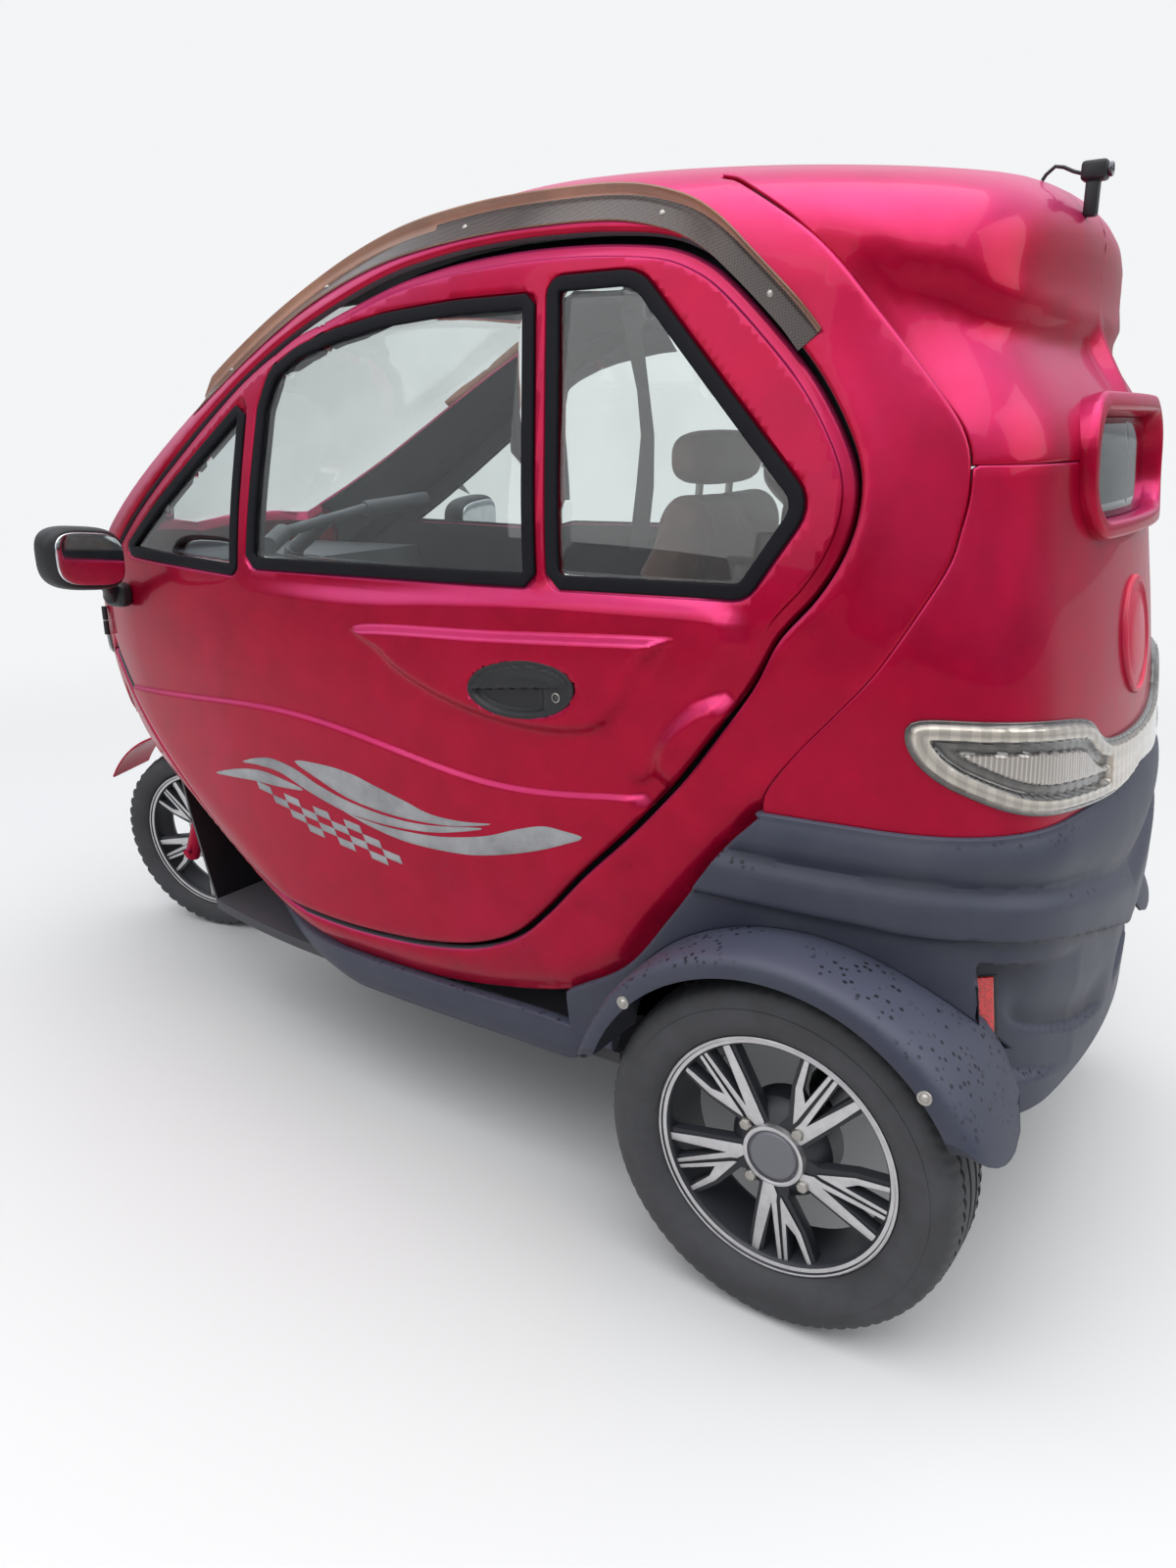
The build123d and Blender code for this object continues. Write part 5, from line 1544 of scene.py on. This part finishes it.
REFLECTOR_LINE = np.array(((.869, .508), (.826, .510), (.792, .408), (.835, .407)))


def build_reflectors(props):
    def strip(grow, height):
        line = grown(REFLECTOR_LINE * (LAMP_R, 1), grow) / (LAMP_R, 1)
        return body_panel(DRUM_CHART, [line], (.02, .012), lip_steps(.0016, .003), .006,
                          lambda skin: bumper_recess(skin) + height)

    make_object("rear_reflector_strips", both_sides(
        lambda: collected((0, strip(.006, .0015)), (1, strip(0.0, .0045)))),
                "black_plastic reflector", "rear_reflectors")


DISC_Z = .890


def build_tail_disc(props):
    """Plain round plate with a raised rim and a domed middle."""
    rings = [(0.0, .0790), (.0035, .0785), (.0062, .0760), (.0062, .0715), (.0030, .0695),
             (.0030, .0560), (.0042, .0545), (.0060, .0400), (.0068, .0200), (.0070, .0004)]
    bm = spun(rings + [(-.004, .0004), (-.004, .0780)], (0, 0, 0), 72)
    placed(bm, Matrix.Rotation(math.pi / 2, 4, "Z"))
    places = places_in(bm.verts)
    skin = on_rear(np.clip(places[:, 1], -.2, .2), DISC_Z + places[:, 2])
    for v, at in zip(bm.verts, skin):
        v.co = (at[0] + v.co.x, at[1], at[2])
    make_object("tail_disc_plate", bm, "disc", "tail_disc")


def build_roof_camera(props):
    """Small rear-view camera on a foot, with its lens and a short fixed lead."""
    barrel = spun([(.0, .0004), (.0, .0075), (.0040, .0085), (.0058, .0078), (.0058, .0062),
                   (.0035, .0052), (.0042, .0004)], (0, 0, 0), 32)
    turn = Matrix.Translation((-.1950, .082, 1.448)) @ Matrix.Rotation(math.pi / 2, 4, "Z")
    lead = [(-.168, .082, 1.446), (-.156, .082, 1.450), (-.144, .082, 1.456),
            (-.134, .082, 1.458), (-.124, .082, 1.450), on_top(-.120, .082)[0]]
    bm = collected((0, block((-.196, .070, 1.437), (-.166, .094, 1.459), .0045)),
                   (0, block((-.188, .075, 1.398), (-.172, .089, 1.440), .003)),
                   (1, placed(barrel, turn)), (0, tube(lead, .0022, 10)))
    make_object("roof_camera_body", bm, "black_plastic dark_glass", "roof_camera")


HEADLAMP_LINE = filleted(((.105, .715, .020), (.275, .722, .024), (.285, .785, .022),
    (.120, .795, .024)), .008)


def headlamp_inset(points):
    return signed_distance(np.abs(points[:, [1, 2]]), HEADLAMP_LINE)


def headlamp_bowl(skin):
    depth = headlamp_inset(skin)
    return (.004 + .003 * ease(depth, 0.0, .004) - .016 * ease(depth, .0045, .016)
            + .012 * ease(depth, .023, .031))


def build_headlamps(props):
    """Lens over a bowl and its light bar, in the nose's skin."""
    flat = NOSE_CHART[1](on_front(HEADLAMP_LINE[:, 0], HEADLAMP_LINE[:, 1]))
    bm = both_sides(lambda: body_panel(NOSE_CHART, [flat], (.008, .008), lip_steps(.003, .006),
                                       .010, headlamp_bowl))
    store(bm, "inset", headlamp_inset(places_in(bm.verts)))
    make_object("headlamp_lenses", bm, "headlamp", "headlamps")


# Door fittings

def handle_relief(skin):
    """Rim, pull lever above and a finger hollow below."""
    flat = skin[:, [0, 2]]
    inset = signed_distance(flat, HANDLE_LINE)
    above = flat[:, 1] - .820 - (.470 - flat[:, 0]) * .12
    height = .0185 - .0020 * ease(inset, .0035, .0050)
    lever = ease(inset, .005, .007) * ease(above, -.001, .0008)
    height = height + lever * (.0022 + .0035 * ease(inset, .006, .026))
    hollow = ease(inset, .005, .012) * ease(-above, .0008, .003) * ease(flat[:, 0], .345, .360)
    return height - .0075 * hollow


def build_handles(props):
    x, y, z = on_side([(.329, .823)])[0]
    at = Matrix.Translation((x, y + .0150, z))
    ring = [(0, .0066), (.0024, .0066), (.0030, .0058), (.0030, .0050), (.0012, .0048),
            (.0012, .0004), (0, .0004)]
    slit = [(.0008, .0004), (.0022, .0004), (.0022, .0030), (.0008, .0030)]
    for side, name in SIDES:
        bm = body_panel(SIDE_CHART, [HANDLE_LINE], (.0024, .0024),
                        [(.0004, .0002), (.0010, .0012), (.0010, .0050)], .016, handle_relief)
        bm = collected((0, bm), (1, placed(spun(ring, (0, 0, 0), 28), at)),
                       (2, placed(spun(slit, (0, 0, 0), 28), at)))
        make_object(f"door_handle_pull_{name}", flip_side(bm, side), "black_plastic nut steel",
                    f"door_handle_{name}", f"door_{name}_body")


DECAL_LINES = (((.789, .574), (.751, .568), (.677, .565), (.581, .571), (.490, .590), (.425, .614),
    (.378, .628), (.345, .628), (.310, .624), (.337, .610), (.388, .589), (.451, .569),
    (.517, .554), (.585, .548), (.656, .548), (.728, .558)), ((.891, .641), (.826, .647),
    (.760, .644), (.700, .631), (.642, .618), (.592, .606), (.531, .606), (.471, .613),
    (.543, .596), (.624, .589), (.696, .590), (.770, .599), (.833, .618)), ((1.042, .614),
    (.967, .634), (.901, .628), (.842, .609), (.772, .593), (.685, .584), (.602, .586),
    (.488, .603), (.580, .578), (.676, .569), (.776, .572), (.867, .592), (.935, .613),
    (.995, .616)), ((1.137, .575), (1.068, .595), (.998, .606), (.937, .602), (.881, .592),
    (.942, .586), (1.021, .583), (1.091, .577)))
CHECK_STEP = ((-.0365, -.0043), (-.0045, -.0135))
CHECK_START = (1.010, .584)


def decal_sheets():
    """The swoosh's bands and the small checks below them, as closed lines."""
    lines = [rounded(line, .008) for line in DECAL_LINES]
    along, down = (np.array(step) for step in CHECK_STEP)
    for i in range(9):
        for j in range(4):
            if (i + j) % 2 or (i < 2 and j > 1) or (i > 6 and j < 1):
                continue
            at = np.array(CHECK_START) + along * i + down * j
            lines.append(np.array([at, at + along, at + along + down, at + down]))
    return lines


def build_decals(props):
    for side, name in SIDES:
        bm = collected(*((0, body_panel(SIDE_CHART, [line], (.012, .012), [(.0002, .0002)], .0008,
                                        lambda skin: door_relief(skin) + .0006))
                         for line in decal_sheets()))
        make_object(f"door_stripe_{name}", flip_side(bm, side), "stripe",
                    body=f"door_{name}_body")


MIRROR_CENTRE = (1.305, .520, .955)


def build_mirrors(props):
    """Mirror heads with a tinted side cover, on an arm and a foot on the door."""
    x, y, z = MIRROR_CENTRE
    rear = x - .026
    for side, name in SIDES:
        head = pebble((.070, .148, .108), MIRROR_CENTRE, .62)
        for v in head.verts:
            if v.co.x < rear:
                v.co.x = rear - .12 * (rear - v.co.x)
        cover = pebble((.050, .120, .082), (x + .0135, y + .003, z + .002), .66)
        glass = pebble((.006, .126, .088), (rear - .0030, y, z), .58)
        for shell in (head, cover, glass):
            for v in shell.verts:
                v.co.z += .10 * (v.co.y - y)
        arm = tube([(1.392, .412, .872), (1.383, .420, .884), (1.362, .442, .901),
                    (1.338, .470, .918), (1.318, .492, .934)], [.016, .0135, .0115, .011, .013], 20)
        bm = collected((0, head), (1, cover), (2, glass), (0, arm),
                       (0, pebble((.062, .030, .046), (1.392, .400, .874), .55, (32, 20))),
                       (3, screw_head((1.397, .4145, .876), (0, 1, .1), .0042)))
        make_object(f"mirror_head_{name}", flip_side(bm, side),
                    "black_plastic grey_plastic mirror_glass nut", f"mirror_{name}",
                    f"door_{name}_body")


VISOR_FOOT = rounded(((1.176, 1.186), (1.100, 1.224), (.980, 1.290), (.856, 1.346), (.708, 1.385),
    (.560, 1.401), (.434, 1.405), (.311, 1.401), (.230, 1.384), (.177, 1.360), (.125, 1.320),
    (.070, 1.270), (.043, 1.240)), .012, closed=False)
VISOR_SECTION = ((0, .0006), (0, .0030), (.7, .0040), (.92, .0052), (1.0, .0080), (1.04, .0125),
    (1.06, .0165), (1.12, .0167), (1.10, .0120), (1.07, .0072), (1.02, .0034), (.90, .0012))
VISOR_TALL = .030


def build_visors(props):
    """Rain visors: a patterned flange on the cabin and a smoked lip standing out of it."""
    run = np.gradient(VISOR_FOOT, axis=0)
    away = np.stack([run[:, 1], -run[:, 0]], -1) / np.linalg.norm(run, axis=1, keepdims=True)
    away *= np.sign(away[len(away) // 2, 1])
    foot, top = on_side(VISOR_FOOT), on_side(VISOR_FOOT + away * VISOR_TALL)
    normals = body_normals(top)

    def visor():
        last = len(foot) - 1
        rings = [[foot[i] + (top[i] - foot[i]) * u + normals[i]
                  * (.0006 + n * min(1.0, .35 + min(i, last - i) / 6)) for u, n in VISOR_SECTION]
                 for i in range(last + 1)]
        bm = swept(rings)
        for face in bm.faces:
            at = np.array(face.calc_center_median())
            face.material_index = int(np.min(np.linalg.norm(foot + (top - foot) * .5 - at, axis=1))
                                      < .0150)
        screws = collected(*((2, screw_head(foot[i] * .5 + top[i] * .5 + normals[i] * .0040,
                                            normals[i], .0045))
                             for i in (int(share * last) for share in (.10, .31, .55, .80, .95))))
        take_in(bm, screws)
        return bm

    make_object("rain_visor_pair", both_sides(visor), "visor visor_band nut", "rain_visors")


def build_sills(props):
    """Dark strips under the doors, with a seam across each."""
    line = rounded(((.372, .286), (.700, .284), (1.100, .283), (1.215, .287), (1.286, .306),
                    (1.300, .290), (1.262, .246), (1.200, .229), (.900, .227), (.500, .229),
                    (.372, .234)), .012)

    def relief(skin):
        edge = signed_distance(skin[:, [0, 2]], line)
        seam = np.abs(skin[:, 0] - 1.150 + .25 * (skin[:, 2] - .26))
        return .006 * ease(edge, 0.0, .018) - .002 * (1 - ease(seam, .0008, .0022))

    make_object("sill_strips", both_sides(lambda: body_panel(
        SIDE_CHART, [line], (.007, .007), lip_steps(.003, .008), .02, relief)),
                "grey_plastic", "sills")


# Seat

CUSHION_FRAMES = 20
CUSHION_SWELL = .012


def cushion_mesh(bm, pressure):
    """Fills out a soft piece with the cloth solver, then smooths it."""
    obj = linked("cushion", bm)
    remesh = obj.modifiers.new("even", "REMESH")
    remesh.mode, remesh.voxel_size, remesh.use_smooth_shade = "VOXEL", .0075, True
    bake_modifiers(obj)
    start = places_in(obj.data.vertices)
    cloth = obj.modifiers.new("fill", "CLOTH")
    cloth.settings.use_pressure = True
    cloth.settings.uniform_pressure_force = pressure
    cloth.settings.effector_weights.gravity = 0.0
    cloth.settings.quality = 5
    cloth.point_cache.frame_start, cloth.point_cache.frame_end = 1, CUSHION_FRAMES
    scene = bpy.context.scene
    for frame_at in range(1, CUSHION_FRAMES + 1):
        scene.frame_set(frame_at)
    bake_modifiers(obj)
    scene.frame_set(1)
    move = places_in(obj.data.vertices) - start
    size = np.linalg.norm(move, axis=1, keepdims=True)
    move *= np.minimum(1.0, CUSHION_SWELL / np.maximum(size, 1e-6))
    made = bmesh.new()
    made.from_mesh(obj.data)
    for v, at in zip(made.verts, start + move):
        v.co = at
    bmesh.ops.smooth_vert(made, verts=made.verts[:], factor=.5, use_axis_x=True, use_axis_y=True,
                          use_axis_z=True)
    bpy.data.objects.remove(obj)
    return made


def bake_modifiers(obj):
    """Applies a piece's modifiers to its mesh."""
    depsgraph = bpy.context.evaluated_depsgraph_get()
    mesh = bpy.data.meshes.new_from_object(obj.evaluated_get(depsgraph))
    obj.modifiers.clear()
    obj.data = mesh


def pressed(bm, gap_of, width, depth):
    """Presses a sewn channel into a soft piece, where the gap to its line is small."""
    for v in bm.verts:
        v.co -= v.normal * depth * math.exp(-(gap_of(v.co) / width) ** 2)


def build_seat(props):
    """Padded cushion, backrest and headrest with sewn channels, and the posts between them."""
    cushion = cushion_mesh(block((.412, -.212, .548), (.872, .212, .626), .022), 3.0)
    back = block((-.072, -.204, -.245), (.0, .204, .283), .030)
    for z in np.arange(.08, .28, .025):
        bmesh.ops.bisect_plane(back, geom=whole(back), plane_co=(0, 0, z), plane_no=(0, 0, 1))
    for v in back.verts:
        v.co.y *= 1 - .27 * float(ease(v.co.z, .08, .275)) ** 1.5
    lean = Matrix.Translation((.430, 0, .800)) @ Matrix.Rotation(math.radians(-11.5), 4, "Y")
    back = cushion_mesh(placed(back, lean), 3.0)
    head = cushion_mesh(pebble((.072, .236, .082), (.358, 0, 1.115), .62), 2.0)
    for bm, name, gap_of, width, depth in (
            (cushion, "seat_cushion", lambda co: co.x - .640, .005, .004),
            (back, "seat_back", lambda co: co.z - .900, .005, .004),
            (head, "headrest", lambda co: co.x - .362, .003, .003)):
        bm.normal_update()
        pressed(bm, lambda co: abs(co.y) - .128, .005, .005)
        pressed(bm, gap_of, width, depth)
        pad = make_object(f"{name}_pad", bm, "leather", name, sharp=0)
    posts = collected(*(part for y in (-.050, .050) for part in (
        (0, tube([(.368, y, 1.02), (.362, y, 1.090)], .0060, 16)),
        (1, tube([(.369, y, 1.030), (.367, y, 1.052)], [.013, .011], 20)))))
    make_object("headrest_posts", posts, "nut black_plastic")


def build_belt(props):
    """Flat belt hanging from the pillar inside the left rear window, with its buckle tongue."""
    path = [(.282, .352, 1.352), (.300, .350, 1.334), (.306, .347, 1.300), (.300, .343, 1.262),
            (.290, .340, 1.205), (.284, .338, 1.150), (.288, .337, 1.085), (.300, .335, 1.000)]
    half = Vector((.0125, 0, 0))
    rings = []
    for i, p in enumerate(path):
        turn = Matrix.Rotation(math.radians(24 * math.sin(i * 1.1)), 3, "Z")
        wide, thin = turn @ half, turn @ Vector((0, .0007, 0))
        p = Vector(p)
        rings.append([p - wide - thin, p + wide - thin, p + wide + thin, p - wide + thin])
    bm = swept(rings)
    bmesh.ops.subdivide_edges(bm, edges=[e for e in bm.edges if e.calc_length() > .02], cuts=3,
                              use_grid_fill=True)
    buckle = collected((1, block((.283, .344, 1.300), (.318, .350, 1.316), .002)))
    take_in(bm, buckle)
    make_object("hanging_belt", bm, "webbing black_plastic")


def build_hinges(props):
    """Door hinge barrels, at the front edge of each door."""
    make_object("hinge_pins", both_sides(lambda: collected(*(
        (0, tube([(1.566, .318, low), (1.566, .318, low + .027)], .0052, 20))
        for low in (.772, .801)))), "black_plastic")


def build_guard_bolts(props):
    """Bolts with washers on the rear wheel covers' outer lips."""
    def bolt(degrees):
        a = math.radians(degrees)
        at = Vector((.2745 * math.cos(a), .5294, TYRE_R + .2745 * math.sin(a)))
        washer = spun([(0, .0002), (.0012, .0002), (.0012, .0088), (0, .0092)], (0, 0, 0), 24)
        return collected((0, placed(washer, Matrix.Translation(at))),
                         (0, screw_head(at + Vector((0, .001, 0)), (0, 1, 0), .0058, .0034)))

    make_object("wheel_cover_bolts", both_sides(
        lambda: collected((0, bolt(43.0)), (0, bolt(138.0)))), "nut")


CAD_FINISHES = {
    "chassis_frame": "steel", "rear_axle": "steel", "rear_springs": "steel",
    "steering_fork": "paint", "front_mudguard": "paint", "floor_pan": "cabin_plastic",
    "battery": "black_plastic", "wheel_well_liner": "black_plastic", "seat_base": "cabin_plastic",
    "dashboard": "dash_plastic", "handlebar": "dash_plastic", "wiper": "black_plastic",
}


def dress_frame(props):
    """Gives the solids that stay in view their finish."""
    for name, key in CAD_FINISHES.items():
        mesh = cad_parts[name].data
        for index in range(len(mesh.materials)):
            mesh.materials[index] = shade(key)


# Stage, camera and light

CAMERA_AT = (-1.3539, 1.6880, 1.1569)
CAMERA_AXES = ((-.828, -.5607, -.008), (.1579, -.2469, .9561), (.538, -.7904, -.293))
LENS_MM = 26.49


BACKGROUND = (.90, .91, .92)


def background_rays(tree):
    """1 for rays that show the pale background, less for reflections, 0 for light."""
    rays = add_node(tree, "ShaderNodeLightPath").outputs
    seen = maths(tree, "MAXIMUM", rays["Is Camera Ray"], rays["Is Transmission Ray"])
    return maths(tree, "MAXIMUM", seen, times(tree, rays["Is Glossy Ray"], .15))


def floor_material():
    """Pale floor that fades into the background round it."""
    made, tree = material("pale_floor")
    shader = tree.nodes["Principled BSDF"]
    set_inputs(tree, shader, {"Base Color": (.62, .62, .61, 1), "Roughness": .8,
                              "Specular IOR Level": .1})
    reach = add_node(tree, "ShaderNodeVectorMath", {0: places_of(tree)}, operation="LENGTH")
    far = span(tree, reach.outputs["Value"], 1.7, 5.0)
    glow = add_node(tree, "ShaderNodeEmission", {"Color": (*BACKGROUND, 1), "Strength": 1.0})
    blend = add_node(tree, "ShaderNodeMixShader", {0: times(tree, far, background_rays(tree)),
                                                   1: shader.outputs[0], 2: glow.outputs[0]})
    tree.links.new(blend.outputs[0], tree.nodes["Material Output"].inputs["Surface"])
    return made


def build_stage(props):
    scene = bpy.context.scene
    scene.view_settings.view_transform = "Standard"
    bm = bmesh.new()
    bmesh.ops.create_grid(bm, x_segments=1, y_segments=1, size=40.0)
    floor = linked("floor", bm)
    floor.data.materials.append(floor_material())
    world = bpy.data.worlds.new("studio")
    scene.world = world
    world.use_nodes = True
    tree = world.node_tree
    coords = add_node(tree, "ShaderNodeTexCoord")
    split = add_node(tree, "ShaderNodeSeparateXYZ", {"Vector": coords.outputs["Generated"]})
    sky = ramp(tree, span(tree, split.outputs["Z"], -1.0, 1.0, "LINEAR"), (
        (.0, .16), (.50, (.17, .18, .20)), (.60, (.50, .53, .58)), (.75, (1.0, 1.03, 1.08)),
        (1.0, (1.15, 1.18, 1.25))))
    set_inputs(tree, tree.nodes["Background"], {
        "Color": mixed(tree, background_rays(tree), sky, BACKGROUND), "Strength": 1.0})
    for name, place, aim, size, power in (
            ("sky_panel", (-.8, 1.0, 4.6), (-.1, 0, .8), 5.5, 175.0),
            ("side_panel", (1.4, 4.4, 3.0), (0, 0, .7), 3.0, 34.0),
            ("rear_panel", (-4.2, -.8, 3.0), (-.6, 0, .8), 2.4, 38.0)):
        light = bpy.data.lights.new(name, "AREA")
        light.size, light.energy = size, power
        turn = (Vector(aim) - Vector(place)).to_track_quat("-Z", "Y").to_matrix()
        in_view(name, light, place, turn)
    lens = bpy.data.cameras.new("photo_view")
    lens.lens, lens.sensor_width, lens.clip_start = LENS_MM, 36.0, .02
    right, up, ahead = (Vector(axis) for axis in CAMERA_AXES)
    scene.camera = in_view("photo_view", lens, CAMERA_AT, Matrix((right, up, -ahead)).transposed())


def in_view(name, data, place, turn):
    """Puts a lamp or camera in the scene."""
    obj = bpy.data.objects.new(name, data)
    obj.matrix_world = Matrix.Translation(place) @ turn.to_4x4()
    bpy.context.scene.collection.objects.link(obj)
    return obj


# Add-on layout

class ScooterLooks(bpy.types.PropertyGroup):
    paint: FloatVectorProperty(name="Paint", description="Colour of the lacquered bodywork",
                               subtype="COLOR", size=3, default=(.37, .0015, .027), min=0, max=1)
    plastic: FloatVectorProperty(name="Plastic", description="Colour of the bumper and mudguards",
                                 subtype="COLOR", size=3, default=(.030, .033, .054), min=0, max=1)
    door_cell: FloatProperty(name="Door cell", description="Mesh size on the doors",
                             default=.009, min=.003, max=.05, unit="LENGTH")
    body_cell: FloatProperty(name="Body cell", description="Mesh size on the other panels",
                             default=.013, min=.005, max=.05, unit="LENGTH")


def run(context, *steps):
    """Runs an operator's building steps in order."""
    for step in steps:
        step(context.scene.scooter_looks)
    return {"FINISHED"}


class SCOOTER_OT_stage(bpy.types.Operator):
    """Adds the floor, the lights and the camera"""
    bl_idname = "scooter.stage"
    bl_label = "Stage"

    def execute(self, context):
        return run(context, build_stage)


class SCOOTER_OT_bodywork(bpy.types.Operator):
    """Builds the cabin, tail, nose and bumper panels"""
    bl_idname = "scooter.bodywork"
    bl_label = "Bodywork"

    def execute(self, context):
        return run(context, build_cabin, build_tail_upper, build_tail_lower, build_nose,
                   build_bumper)


class SCOOTER_OT_doors(bpy.types.Operator):
    """Builds the two doors"""
    bl_idname = "scooter.doors"
    bl_label = "Doors"

    def execute(self, context):
        return run(context, build_doors)


class SCOOTER_OT_windows(bpy.types.Operator):
    """Builds the panes, their seals and the rear window's surround"""
    bl_idname = "scooter.windows"
    bl_label = "Windows"

    def execute(self, context):
        return run(context, build_windows, build_opening_seals, build_screens)


class SCOOTER_OT_wheels(bpy.types.Operator):
    """Builds the tyres, rims and rear mudguards"""
    bl_idname = "scooter.wheels"
    bl_label = "Wheels"

    def execute(self, context):
        return run(context, build_tyres, build_rims, build_mudguards)


class SCOOTER_OT_lamps(bpy.types.Operator):
    """Builds the tail lamps, headlamps and reflectors"""
    bl_idname = "scooter.lamps"
    bl_label = "Lamps"

    def execute(self, context):
        return run(context, build_tail_lamps, build_headlamps, build_reflectors)


class SCOOTER_OT_fittings(bpy.types.Operator):
    """Builds the tail plate, roof camera, rain visors, sills, hinges and bolts"""
    bl_idname = "scooter.fittings"
    bl_label = "Body fittings"

    def execute(self, context):
        return run(context, build_tail_disc, build_roof_camera, build_visors, build_sills,
                   build_hinges, build_guard_bolts)


class SCOOTER_OT_door_fittings(bpy.types.Operator):
    """Builds the door handles, stripes and mirrors"""
    bl_idname = "scooter.door_fittings"
    bl_label = "Door fittings"

    def execute(self, context):
        return run(context, build_handles, build_decals, build_mirrors)


class SCOOTER_OT_seat(bpy.types.Operator):
    """Builds the padded seat, its headrest and the belt"""
    bl_idname = "scooter.seat"
    bl_label = "Seat"

    def execute(self, context):
        return run(context, build_seat, build_belt)


class SCOOTER_OT_frame_finish(bpy.types.Operator):
    """Gives the frame's remaining solids their finish"""
    bl_idname = "scooter.frame_finish"
    bl_label = "Frame finish"

    def execute(self, context):
        return run(context, dress_frame)


OPERATORS = (SCOOTER_OT_stage, SCOOTER_OT_bodywork, SCOOTER_OT_doors, SCOOTER_OT_windows,
             SCOOTER_OT_wheels, SCOOTER_OT_lamps, SCOOTER_OT_fittings, SCOOTER_OT_door_fittings,
             SCOOTER_OT_seat, SCOOTER_OT_frame_finish)


class SCOOTER_PT_panel(bpy.types.Panel):
    """Lists the scooter's sizes, colours and pieces"""
    bl_idname = "SCOOTER_PT_panel"
    bl_label = "Scooter"
    bl_space_type = "VIEW_3D"
    bl_region_type = "UI"
    bl_category = "Scooter"

    def draw(self, context):
        column = self.layout.column()
        for name in ScooterLooks.__annotations__:
            column.prop(context.scene.scooter_looks, name)
        for operator in OPERATORS:
            column.operator(operator.bl_idname)


CLASSES = (ScooterLooks, *OPERATORS, SCOOTER_PT_panel)


def register():
    for cls in CLASSES:
        bpy.utils.register_class(cls)
    bpy.types.Scene.scooter_looks = PointerProperty(type=ScooterLooks)


def unregister():
    del bpy.types.Scene.scooter_looks
    for cls in reversed(CLASSES):
        bpy.utils.unregister_class(cls)


def main():
    register()
    for operator in OPERATORS:
        group, name = operator.bl_idname.split(".")
        getattr(getattr(bpy.ops, group), name)()


if __name__ == "__main__":
    main()
